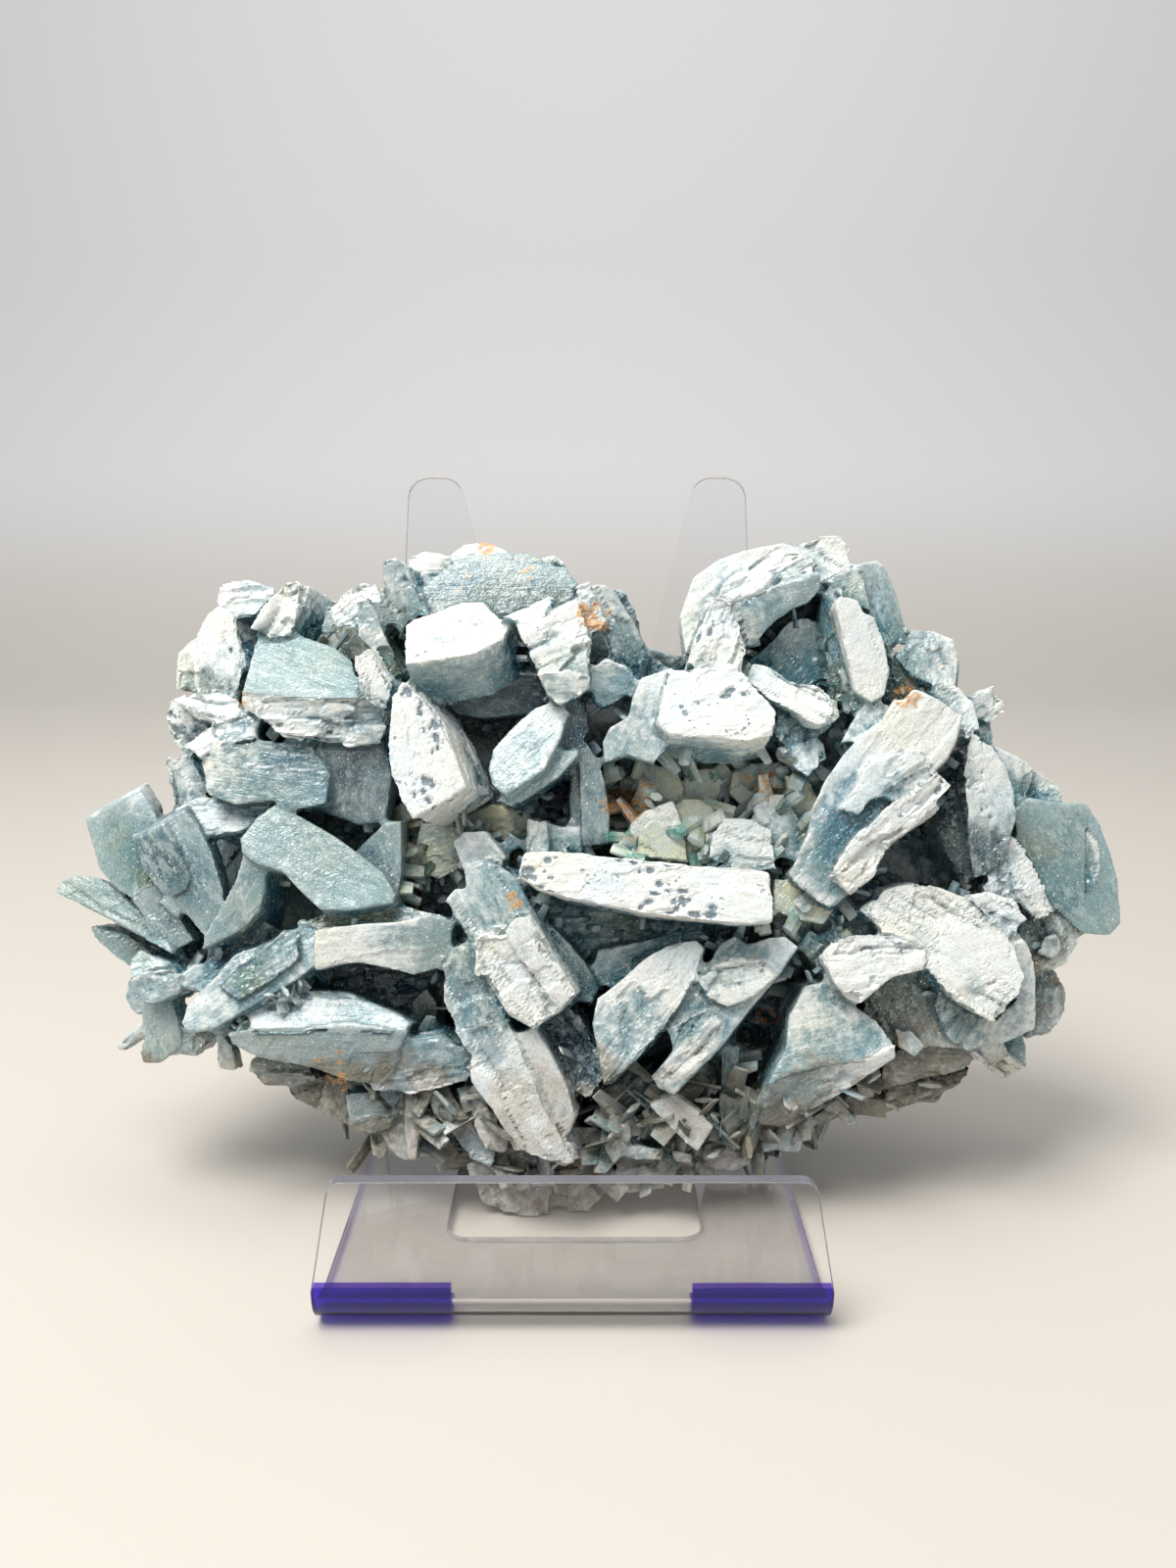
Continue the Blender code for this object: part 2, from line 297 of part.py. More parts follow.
def right_crystals():
    return [
        crystal([(66.3, 14.3), (70, 20.2), (72, 19.7), (74.5, 22.6), (80, 19.8), (86.1, 16), (84.6, 10),
                 (82.3, 6), (79.5, 3), (72, -4), (64, -14), (60.5, -24), (57.5, -27.8), (55, -28.7),
                 (50, -25.3), (45.2, -21), (47.7, -16), (49.7, -12), (50.7, -6), (54, 0.7), (58, 6.7),
                 (62, 11.2)], 15, (0.05, 0.05), (4, -3, -18)),
        crystal([(60, -2), (65, 5.7), (72, 7.7), (77, 7.2), (79.3, 4), (74, 0), (70, -3.2), (65, -3.7),
                 (62, -7.3), (57, -5.7)], 17.5, (0.05, 0.05), (1, -2, -10)),
        crystal([(55.3, -20.7), (60, -26), (66, -21), (69.5, -14), (73, -11.2), (81.3, -5.5),
                 (80.2, -3.8), (84, -0.3), (80, 3.3), (74, -2), (69.5, -4), (64, -9), (60, -12.5),
                 (57, -16.5)], 19, (0.0, 0.08), (2, -2, -14)),
        crystal([(88, 12.7), (92.7, 9), (96.2, 4), (97.8, -2), (98.3, -8), (96.5, -14.5), (94.6, -20),
                 (88, -22), (86.5, -10), (86, 2)], 10, (-0.1, 0.1), (0, 0, -22)),
        crystal([(85, 13), (88.3, 14), (89, 2), (89, -10), (89, -21.8), (84, -20.7), (79.5, -10),
                 (82, 0)], 5, (0.7, 0), (0, 0, -18)),
        crystal([(92.5, 9.2), (101.5, 5.2), (103, 2.5), (102, -1.7), (98, -6), (95, 0)],
                -3, (-0.1, 0), (0, 0, -13)),
        crystal([(101, 4), (104.5, 2.7), (108.8, -0.9), (109.4, -2.5), (108.2, -3.5), (100, -3)],
                -5, (0, 0), (-1, 0, -9)),
        crystal([(97.5, -6), (101, -3), (108, -4.3), (114.4, -4.4), (117.2, -9), (119.7, -15.5),
                 (121.5, -22), (122.2, -32), (119.5, -34.8), (113.5, -34.3), (107, -28.5),
                 (102, -20.5), (98, -12)], 0, (-0.2, 0), (-1, 0, -17)),
        crystal([(111.3, -11), (114.5, -10.3), (117, -13.5), (117.3, -20), (116.6, -24.7), (113.8, -25.2),
                 (113.3, -18)], -0.8, (-0.15, 0), (0, 0, -6)),
        crystal([(97.6, -11.8), (100.7, -14.5), (104.3, -21.5), (107.6, -29.5), (102.5, -32.2),
                 (98, -26.5), (90.5, -23.5), (94, -18.5)], 7, (-0.1, 0), (1, -1, -20)),
        crystal([(104.5, -22.5), (107.2, -25), (109.7, -30), (112.9, -33.8), (113.2, -36.7), (110.2, -41.7),
                 (102.5, -44.3), (98, -38), (98.5, -31)], 0, (-0.1, 0.1), (-1, 0, -17)),
        crystal([(104, -35), (108, -34), (110, -37.5), (106.5, -40.5), (102.5, -39)], 2, (0, 0.2), (0, 0, -8)),
        crystal([(62, -29), (68, -24), (75, -22), (81, -23.5), (88, -26.2), (94, -31), (98, -37.5),
                 (100.3, -44), (99, -49.5), (93, -55), (86, -51.2), (80, -46), (75, -40), (69, -35)],
                15, (-0.12, -0.25), (0, -2, -22)),
        crystal([(86.5, -25.5), (92, -24.5), (97.7, -26), (101.3, -31), (98.5, -35), (92, -32)],
                13, (-0.1, -0.1), (0, -1, -18)),
        crystal([(53.6, -39.5), (57, -35.4), (62, -34.1), (70, -34.4), (77.3, -37.3), (77.3, -42.5),
                 (70, -44.3), (62.5, -50.6), (59.3, -49.3), (55.8, -45)], 17, (0, -0.1), (0, -3, -20)),
        crystal([(80, -45), (86, -50), (93, -54), (98, -49.5), (99, -44), (97, -36), (100, -34.5),
                 (102.5, -41), (103, -52), (102.5, -56.3), (97, -58.8), (87, -61.4), (82.5, -58.7),
                 (79, -52)], 9, (-0.1, 0.25), (0, 0, -20)),
        crystal([(62.5, -50.5), (70, -43), (79, -41), (83, -53), (86, -61), (78, -60.4), (75, -62),
                 (69.3, -58.8)], 7, (0, 0.3), (0, 0, -18)),
        crystal([(70, -55.8), (75, -57), (77.3, -60), (75, -62.7), (71, -60.5)], 9, (0, 0.1), (0, 0, -12)),
        crystal([(68, -62), (73, -60), (84, -59), (88.7, -64.6), (82, -66.8), (72, -69.3), (66.3, -71)],
                2, (0, 0.1), (0, 0, -14)),
        crystal([(67, -69), (74, -67.5), (80, -67), (82.5, -69.5), (80, -73.3), (76.5, -73), (73, -74.3),
                 (70.8, -72.5), (68, -72.8)], -2, (0, 0.1), (0, 0, -10)),
        crystal([(80, -66), (88, -64.8), (87.5, -67), (84.5, -69.5), (82, -70.5), (79, -70)],
                -3, (0, 0), (0, 0, -9)),
        crystal([(86.6, -61.6), (94.6, -58), (96.7, -62.3), (100.4, -65.7), (96, -69), (92.3, -66.7)],
                5, (0, 0), (1.5, 1.5, -12)),
        crystal([(95, -57), (100, -57), (100.8, -65.3), (96.5, -64)], 1, (0, 0), (0, 0, -9)),
        crystal([(101, -43), (107.7, -42.9), (110.3, -47.5), (109.8, -52), (105.8, -57.6), (100, -58.7)],
                -5, (-0.1, 0), (-2, 0, -13)),
    ]


def middle_crystals():
    return [
        crystal([(-16.2, -21), (-15, -15.4), (-10, -15), (0, -15.7), (20, -17.8), (38, -19.1),
                 (42.2, -19.9), (42.8, -32), (35, -32.2), (15, -30.2), (5, -28.2), (-4, -26.5),
                 (-12, -24)], 22, (0.02, -0.2), (0, -3.5, -22)),
        crystal([(-14, -7.8), (-9, -8.3), (-8.5, -17), (-15, -17)], 7, (0, -0.1), (0, 0, -16)),
        crystal([(-9.5, -9), (-2, -10), (-1, -17), (-9, -17)], 4, (0, 0), (0, 0, -14)),
        crystal([(9.1, -17), (9.6, -9), (13, -6.1), (19.6, -3.6), (21.7, -9), (23, -18)],
                6, (0, -0.1), (0, 0, -17)),
        crystal([(21, -3), (26, -3.3), (28.7, -5), (29.7, -9), (29, -19), (21, -18)], 3, (0, -0.1), (0, 0, -14)),
        crystal([(28.2, -12), (31, -7.5), (37.5, -7.8), (42.3, -10.3), (43.8, -20), (33, -19.8),
                 (27.5, -17)], 8, (0, -0.15), (0, 0, -18)),
        crystal([(37.3, -5.7), (41, -2.3), (44.7, -2.3), (50.5, -10), (48.8, -18), (43, -17),
                 (40, -9)], 5, (0, -0.1), (0, 0, -16)),
        crystal([(11.5, 1.5), (14, 4), (20, 4.5), (22, -1), (21, -5), (13.5, -6.5), (11.3, -3)],
                -1, (0, -0.2), (0, 0, -12)),
        crystal([(22, 3), (29, 4), (31, 0.5), (29.5, -5), (23, -5)], -3, (0, -0.1), (0, 0, -10)),
        crystal([(33, 3), (38, 5), (44, 5), (47, 1), (44, -3.5), (36, -6), (32, -2)], -2, (0, -0.1), (0, 0, -12)),
        crystal([(45, 2), (50.5, 1), (53, -3), (51, -9), (46, -5)], 3, (0.1, 0), (0, 0, -16)),
        crystal([(42.5, -21.5), (46, -22), (56.3, -29), (54, -32.3), (48, -31.3), (42.5, -29)],
                8, (0.1, -0.2), (0, -1, -18)),
        crystal([(42.5, -29), (54, -32), (56, -38), (47, -36), (42, -34)], 4, (0, 0.1), (0, 0, -16)),
        crystal([(48, -37), (51, -33), (55, -36), (57, -43), (54, -45.5)], 6, (0, 0), (0, 0, -16)),
        crystal([(56, -28), (63, -27), (68, -32), (62, -36), (55, -36)], 7, (0, -0.2), (0, 0, -16)),
        crystal([(-31.2, -13), (-28.5, -10.6), (-23.5, -10.5), (-18.3, -17), (-20.5, -19), (-24, -18.5),
                 (-28.5, -20.5)], 9, (0, -0.1), (0.5, -1, -16)),
        crystal([(-33.3, -26.5), (-30.5, -23.8), (-28, -24), (-28.7, -19.7), (-24, -17.3), (-20, -18.8),
                 (-16.3, -21.5), (-12.3, -29.5), (-8, -38), (-2.7, -48), (-6.5, -52.3), (-12.5, -56.3),
                 (-18.5, -53), (-24.5, -43), (-27, -36), (-31, -31)], 15, (0.05, -0.1), (4, -1.5, -18)),
        crystal([(-26.2, -35), (-22, -33.3), (-19.4, -34), (-16.3, -40), (-12.8, -46), (-8.8, -52.7),
                 (-12.5, -56), (-18.7, -52.3), (-23.2, -44.7), (-26.2, -44)], 18, (0, 0), (1, -1, -10)),
        crystal([(-19.2, -33), (-16.5, -30.3), (-13.5, -30), (-10.8, -34), (-6.8, -40.5), (-2.3, -48),
                 (-6.8, -51.8), (-11, -48), (-14.2, -43), (-17.2, -38)], 18.6, (-0.1, 0), (1, -1, -10)),
        crystal([(-13, -27.5), (-6.3, -34.2), (-0.8, -40.3), (2.8, -46.5), (1.3, -50.5), (-4, -50),
                 (-9, -38)], 10, (-0.25, 0), (0, 0, -16)),
        crystal([(-33.7, -42), (-31, -37.3), (-28, -35.5), (-24, -43.5), (-18.7, -53), (-14.8, -61.5),
                 (-12.2, -68), (-9.2, -76), (-3.7, -83.5), (-2.6, -87), (-6, -88.6), (-12, -85.3),
                 (-17, -84.8), (-21, -76.7), (-26, -69.7), (-28.8, -64.7), (-27.2, -63),
                 (-30.7, -57), (-33.3, -50)], 15, (0.08, -0.02), (3, -1, -20)),
        crystal([(-17.5, -57.3), (-12, -55.5), (-8.3, -62), (-4.8, -69), (-2.5, -76), (-3.8, -79.7),
                 (-6.5, -81.3), (-10, -78), (-13.2, -67.5)], 14, (0, 0.05), (2, 0, -18)),
        crystal([(-12, -56), (-5, -51.5), (-1, -53.3), (3.1, -62.5), (4, -68), (0, -72.8), (-3.7, -69.3),
                 (-7.7, -63)], 9, (0.1, 0), (0, 0, -18)),
        crystal([(1.8, -49), (8, -44.3), (13.5, -39.3), (19, -36.5), (24.6, -35.4), (26.7, -37.5),
                 (25.2, -43), (21.7, -50), (17.7, -56), (11, -63.3), (5, -68.8), (3.3, -69.8),
                 (2.1, -62), (0.7, -55)], 17, (0.05, -0.15), (3, -3, -18)),
        crystal([(14.2, -67), (19.3, -61), (18, -56), (23.5, -48.7), (26, -43.3), (30, -36.7),
                 (33.5, -34.5), (36.5, -36.6), (41, -35.2), (45, -34.7), (48.3, -37.3), (43.7, -44),
                 (37.2, -51.7), (30.7, -60.2), (24, -67.2), (19.5, -71.5), (15.8, -69.8)],
                16, (0.05, -0.1), (3, -3, -18)),
        crystal([(25.1, -46), (28, -41.3), (33, -39.8), (38.5, -39.5), (43.5, -44), (38, -48.7),
                 (32, -51.2), (27.3, -49.7)], 17.6, (0.05, -0.1), (1, -1, -6)),
        crystal([(15, -67), (19.5, -61), (21.5, -55), (28, -52), (31, -54.5), (29.5, -59.5), (24, -66),
                 (18, -69)], 17, (0.05, -0.1), (1, -1, -6)),
        crystal([(40.7, -69.5), (45, -60.5), (46, -53), (49.5, -46.3), (56, -44.7), (61.5, -51),
                 (66, -54), (70.5, -60), (64, -63.5), (55, -64.5), (46, -67)], 14, (0, -0.25), (0, -2, -20)),
        crystal([(36.2, -76.5), (40.7, -69.5), (46, -66.5), (55, -64), (64, -63), (70.5, -59.7),
                 (70.6, -62.7), (63, -68), (56, -72.2), (44, -78.9), (38, -78)], 13, (0, 0.4), (0, 1, -18)),
        crystal([(2, -38), (12, -36), (22, -33), (33, -35), (31, -38), (18, -38), (6, -47), (0, -46)],
                7, (0, 0), (0, 0, -14)),
        crystal([(-12, -26), (0, -28), (14, -30), (26, -33), (14, -40), (2, -46), (-5, -36)],
                2, (0, 0), (0, 0, -12)),
    ]


def lower_left_crystals():
    return [
        crystal([(-79, -52), (-71, -48), (-65, -46.7), (-55, -47.3), (-50, -49.7), (-44, -52.3),
                 (-39.8, -54.8), (-46, -57.5), (-56, -56), (-66, -57.5), (-76, -57.5)],
                12, (0, -0.7), (0, -3, -20)),
        crystal([(-83, -57), (-76, -56), (-66, -56), (-56, -54.7), (-46, -56), (-41, -56.5), (-42.8, -60),
                 (-44.2, -65), (-48, -69), (-55, -68.2), (-63, -65.3), (-76, -62.7), (-81.7, -59.7)],
                13, (0, 0.3), (0, 1, -22)),
        crystal([(-44, -58.2), (-33.5, -57.5), (-28.5, -60.5), (-26, -64.5), (-27.3, -68.5), (-34, -70),
                 (-41, -71.3), (-49.5, -70.3), (-50.3, -67.5), (-44.7, -66)], 11, (0, 0.15), (0, 0, -18)),
        crystal([(-83.5, -54.5), (-76, -50.5), (-70, -48.5), (-72, -56), (-82, -58.5)],
                8, (0, 0), (0, 0, -16)),
        crystal([(-58, -38), (-34, -38), (-32, -50), (-34, -57), (-40, -57), (-46, -52), (-60, -47)],
                -4, (0, -0.1), (0, 0, -12)),
        crystal([(-40, -54), (-38.7, -56.2), (-34.3, -56.2), (-34.6, -50), (-37, -46.5), (-40.5, -50)],
                1, (0.2, 0.2), (0, 0, -14)),
        crystal([(-77.3, -63), (-70, -62), (-64, -63), (-62, -68), (-67, -69.5), (-74, -69.3),
                 (-77.8, -66)], 6, (0, 0.1), (0, 0, -16)),
        crystal([(-70, -69), (-61, -68), (-60.5, -71), (-63, -74.3), (-67, -72.7)], 2, (0, 0.1), (0, 0, -12)),
        crystal([(-60, -66), (-50, -67), (-46, -72), (-52, -80), (-62, -75)], 2, (0, 0.1), (0, 0, -14)),
        crystal([(-56, -71), (-49, -70), (-40.8, -71), (-45, -79), (-49, -80.3), (-54.7, -79.3)],
                5, (0, 0.1), (0, 0, -14)),
        crystal([(-42.1, -71.5), (-38.7, -72), (-38.5, -80), (-39.2, -86.7), (-41.4, -86.3), (-42.1, -79)],
                7, (0, 0.05), (0, 1, -8)),
        crystal([(-46.2, -77), (-43, -72), (-41, -79), (-40.7, -86.8), (-44, -85.5), (-47.5, -80)],
                3, (0.1, 0.1), (0, 1, -10)),
        crystal([(-38.7, -73), (-34.8, -76), (-34.3, -80), (-36.8, -85.3), (-39.2, -86)],
                4, (0.1, 0.1), (0, 1, -12)),
        crystal([(-50.3, -79.5), (-47.5, -78.5), (-45, -84), (-47.3, -86.3), (-49.7, -84.8)],
                2, (0, 0.1), (0, 1, -8)),
        crystal([(-37.7, -70.3), (-31.8, -69.3), (-27.7, -76), (-20.7, -85), (-22.3, -88.3), (-27, -86.3),
                 (-31.2, -80.3), (-35.7, -75.3)], 6, (0, 0.05), (0, 0, -16)),
        crystal([(-27.5, -71.8), (-24.8, -70.5), (-20.3, -77.5), (-18, -82), (-18.7, -84.8), (-23.5, -83.8),
                 (-26.2, -79)], 9, (0.1, 0), (0, 0, -16)),
        crystal([(-36, -77), (-30.5, -79), (-28.5, -85.5), (-32, -87.3), (-38, -86)], 1, (0, 0.1), (0, 0, -12)),
    ]


def lower_right_crystals():
    return [
        crystal([(-10, -70), (6, -68), (12, -72), (8, -86), (-8, -86)], -6, (0, 0), (0, 0, -14)),
        crystal([(24, -62), (46, -60), (60, -68), (46, -80), (28, -83)], -6, (0, 0.1), (0, 0, -14)),
        crystal([(13.7, -73.5), (18, -71.5), (21, -71.6), (26, -75.3), (29, -78.5), (27.2, -81.7),
                 (25, -85.1), (21, -81), (16.3, -76.3)], 13, (0, 0), (1, 0, -16)),
        crystal([(8, -85.9), (9.6, -82.7), (15, -83), (24.5, -84.7), (24.6, -87.2), (15, -86.4)],
                9, (0, 0), (0, 0, -14)),
        crystal([(30.4, -60.3), (35, -60), (34.6, -65), (34.2, -71), (32.9, -78.3), (29.6, -79.8),
                 (29.9, -72), (30.5, -65)], 8, (0.05, 0.05), (0, 1, -14)),
        crystal([(1, -89), (4.8, -80.3), (9.4, -76.5), (10.3, -81), (7.2, -86.3), (4, -89.5)],
                9, (0, 0.1), (0, 1, -16)),
        crystal([(6.5, -85.5), (15, -85.8), (21.5, -86.5), (20.3, -91), (5.5, -91)], 5, (0, 0.1), (0, 0, -14)),
        crystal([(26.5, -83), (32, -79.5), (37.7, -80.5), (37.3, -87), (33, -89), (25.5, -89)],
                4, (0, 0.1), (0, 0, -14)),
        crystal([(36, -79), (40, -77.5), (51, -79), (48.2, -85.1), (43.5, -84.1), (40, -84.5)],
                3, (0, 0.1), (0, 1, -12)),
        crystal([(33.3, -74.5), (35, -72.7), (37.8, -75), (35.9, -77.9)], 10, (0, 0), (0, 0, -14)),
        crystal([(52, -73), (56.7, -71), (62.3, -78), (59, -78.9)], 3, (0, 0), (0, 1, -10)),
        crystal([(57, -69.5), (63, -68.5), (68.5, -74), (66, -76.3), (59, -75.3)], 1, (0, 0.1), (0, 1, -10)),
        crystal([(61, -65.5), (65, -65), (66.3, -70), (65, -73.3), (61.5, -72.5)], 5, (0, 0.1), (0, 1, -12)),
        crystal([(12, -75.5), (13.7, -74), (16.8, -79), (15.3, -80.5)], 10, (0, 0), (0, 0, -14)),
        crystal([(10, -70), (21, -69), (32, -60), (33, -80), (26, -86), (8, -84)], 3, (0, 0), (0, 0, -14)),
        crystal([(2, -71), (8, -66), (17, -66), (12, -75), (6, -80), (2, -78)], 6, (0, 0.1), (0, 0, -16)),
        crystal([(-26, -91), (-20, -86), (-13, -86), (-8, -90), (-8.3, -99), (-14, -99), (-20, -98),
                 (-24.5, -95)], 1, (0, 0.1), (0, 1, -20)),
        crystal([(-10, -90), (-2, -87), (1.5, -92), (3.3, -94.5), (-1, -99), (-7, -100), (-10, -100)],
                -1, (0.1, 0.1), (0, 1, -20)),
        crystal([(-4, -86), (18, -88), (17.7, -92.3), (10, -93.3), (0, -94)], -2, (0, 0.1), (0, 1, -16)),
        crystal([(-28, -87), (-8, -83), (4, -84), (4, -91), (-10, -92), (-27, -91)], 3, (0, 0), (0, 0, -18)),
    ]


def matrix_body():
    """The mass of grown-together blades that carries the crystals, as a lumpy body behind them."""
    bm = bmesh.new()
    bmesh.ops.create_icosphere(bm, subdivisions=3, radius=1)
    middle = (MATRIX_FRONT + MATRIX_BACK) / 2
    half = (MATRIX_FRONT - MATRIX_BACK) / 2
    count = len(MATRIX_REACH)
    for vert in bm.verts:
        x, y, z = vert.co
        turn = (math.atan2(y, x) / (2 * math.pi) % 1) * count
        here, part = int(turn) % count, turn % 1
        reach = MATRIX_REACH[here] * (1 - part) + MATRIX_REACH[(here + 1) % count] * part
        u = MATRIX_CENTRE[0] + reach * x
        v = MATRIX_CENTRE[1] + reach * y
        w = middle + half * math.copysign(abs(z) ** 0.7, z) - BACK_SLOPE * v
        spot = Vector((u, v, w)) * 0.07
        w += (noise.cell(spot) - 0.5) * 4 + noise.noise(spot) * 3
        vert.co = placed(u, v, w) * MM
    return bm


def back_plates():
    """Broken plates that cover the back of the matrix. Two stand out to where the prongs carry the stone."""
    rng = random.Random(MATRIX_SEED)
    spots = [(u, v, PRONG_PLATE_DEPTH) for u, v in PRONG_PLATES]
    for k in range(BACK_PLATES):
        out = math.sqrt((k + 0.5) / BACK_PLATES)
        turn = k * GOLDEN_TURN
        u = MATRIX_CENTRE[0] + out * 0.84 * MATRIX_REACH[0] * math.cos(turn)
        v = MATRIX_CENTRE[1] + out * 0.80 * MATRIX_REACH[6] * math.sin(turn)
        spots.append((u, v, MATRIX_BACK - BACK_SLOPE * v + 1 + 7 * out ** 3))
    plates = []
    for u, v, w in spots:
        bm = bmesh.new()
        bmesh.ops.create_cube(bm, size=1)
        size = rng.uniform(22, 34)
        bmesh.ops.scale(bm, vec=(size, size * rng.uniform(0.45, 0.75), rng.uniform(13, 17)), verts=bm.verts)
        tilt = Matrix.Rotation(rng.uniform(-0.4, 0.4), 3, "X") @ Matrix.Rotation(rng.uniform(0, math.pi), 3, "Z")
        bmesh.ops.rotate(bm, matrix=tilt, verts=bm.verts)
        for vert in bm.verts:
            x, y, z = vert.co
            vert.co = placed(u + x, v + y, w + z) * MM
        bmesh.ops.recalc_face_normals(bm, faces=bm.faces[:])
        plates.append(bm)
    return plates


def as_object(bm, name):
    mesh = bpy.data.meshes.new(name)
    bm.to_mesh(mesh)
    bm.free()
    obj = bpy.data.objects.new(name, mesh)
    bpy.context.scene.collection.objects.link(obj)
    return obj


def evaluated_mesh(obj, name):
    bpy.context.view_layer.update()
    graph = bpy.context.evaluated_depsgraph_get()
    return bpy.data.meshes.new_from_object(obj.evaluated_get(graph), depsgraph=graph)


def discard(objects):
    for obj in objects:
        bpy.data.objects.remove(obj, do_unlink=True)


def united(first, others):
    """One closed mesh of all the bodies, as an object."""
    group = bpy.data.collections.new("joined")
    bpy.context.scene.collection.children.link(group)
    target = as_object(first, "target")
    pieces = []
    for bm in others:
        piece = as_object(bm, "piece")
        bpy.context.scene.collection.objects.unlink(piece)
        group.objects.link(piece)
        pieces.append(piece)
    union = target.modifiers.new("union", "BOOLEAN")
    union.operation = "UNION"
    union.operand_type = "COLLECTION"
    union.collection = group
    union.solver = "EXACT"
    mesh = evaluated_mesh(target, "joined")
    discard(pieces + [target])
    bpy.data.collections.remove(group)
    return mesh


def cut_below(bm, point, normal):
    """Takes away what lies on the far side of a plane and closes the cut."""
    geom = bm.verts[:] + bm.edges[:] + bm.faces[:]
    cut = bmesh.ops.bisect_plane(bm, geom=geom, plane_co=point, plane_no=normal, clear_inner=True)
    edges = [e for e in cut["geom_cut"] if isinstance(e, bmesh.types.BMEdge)]
    bmesh.ops.holes_fill(bm, edges=edges)


def largest_shell(bm):
    """Fills hollows sealed inside the stone: only its outer skin stays."""
    left = set(bm.verts)
    shells = []
    while left:
        stack = [left.pop()]
        shell = set(stack)
        while stack:
            for edge in stack.pop().link_edges:
                for vert in edge.verts:
                    if vert not in shell:
                        shell.add(vert)
                        stack.append(vert)
        left -= shell
        shells.append(shell)
    shells.sort(key=len)
    inner = [v for shell in shells[:-1] for v in shell]
    bmesh.ops.delete(bm, geom=inner, context="VERTS")


def panel_plane():
    """A point on the front of the easel's back panel and the direction it faces."""
    lean = math.radians(PANEL_LEAN)
    facing = Vector((0, -math.cos(lean), math.sin(lean)))
    heel = Vector((0, HEEL_BACK, 0))
    return heel, facing


def material(name, colour, roughness, transmission=0.0):
    mat = bpy.data.materials.new(name)
    mat.use_nodes = True
    shader = mat.node_tree.nodes["Principled BSDF"]
    shader.inputs["Base Color"].default_value = (*colour, 1)
    shader.inputs["Roughness"].default_value = roughness
    shader.inputs["Metallic"].default_value = 0.0
    shader.inputs["Transmission Weight"].default_value = transmission
    return mat


def rounded(corners):
    """An outline with the given corners (x, y, radius), each rounded by straight steps of about 15 degrees."""
    points = []
    for i, (x, y, radius) in enumerate(corners):
        here = Vector((x, y))
        before = (Vector(corners[i - 1][:2]) - here).normalized()
        after = (Vector(corners[(i + 1) % len(corners)][:2]) - here).normalized()
        if radius == 0:
            points.append(here)
            continue
        half = before.angle(after) / 2
        centre = here + (before + after).normalized() * (radius / math.sin(half))
        start = here + before * (radius / math.tan(half)) - centre
        turn = start.angle_signed(here + after * (radius / math.tan(half)) - centre)
        steps = max(2, round(abs(math.degrees(turn)) / 15))
        for k in range(steps + 1):
            points.append(centre + Matrix.Rotation(-turn * k / steps, 2) @ start)
    return points


def sheet_prism(points, low, high):
    bm = bmesh.new()
    face = bm.faces.new([bm.verts.new((p[0], p[1], low)) for p in points])
    extruded = bmesh.ops.extrude_face_region(bm, geom=[face], use_keep_orig=True)
    moved = [e for e in extruded["geom"] if isinstance(e, bmesh.types.BMVert)]
    bmesh.ops.translate(bm, vec=(0, 0, high - low), verts=moved)
    bmesh.ops.recalc_face_normals(bm, faces=bm.faces[:])
    return bm


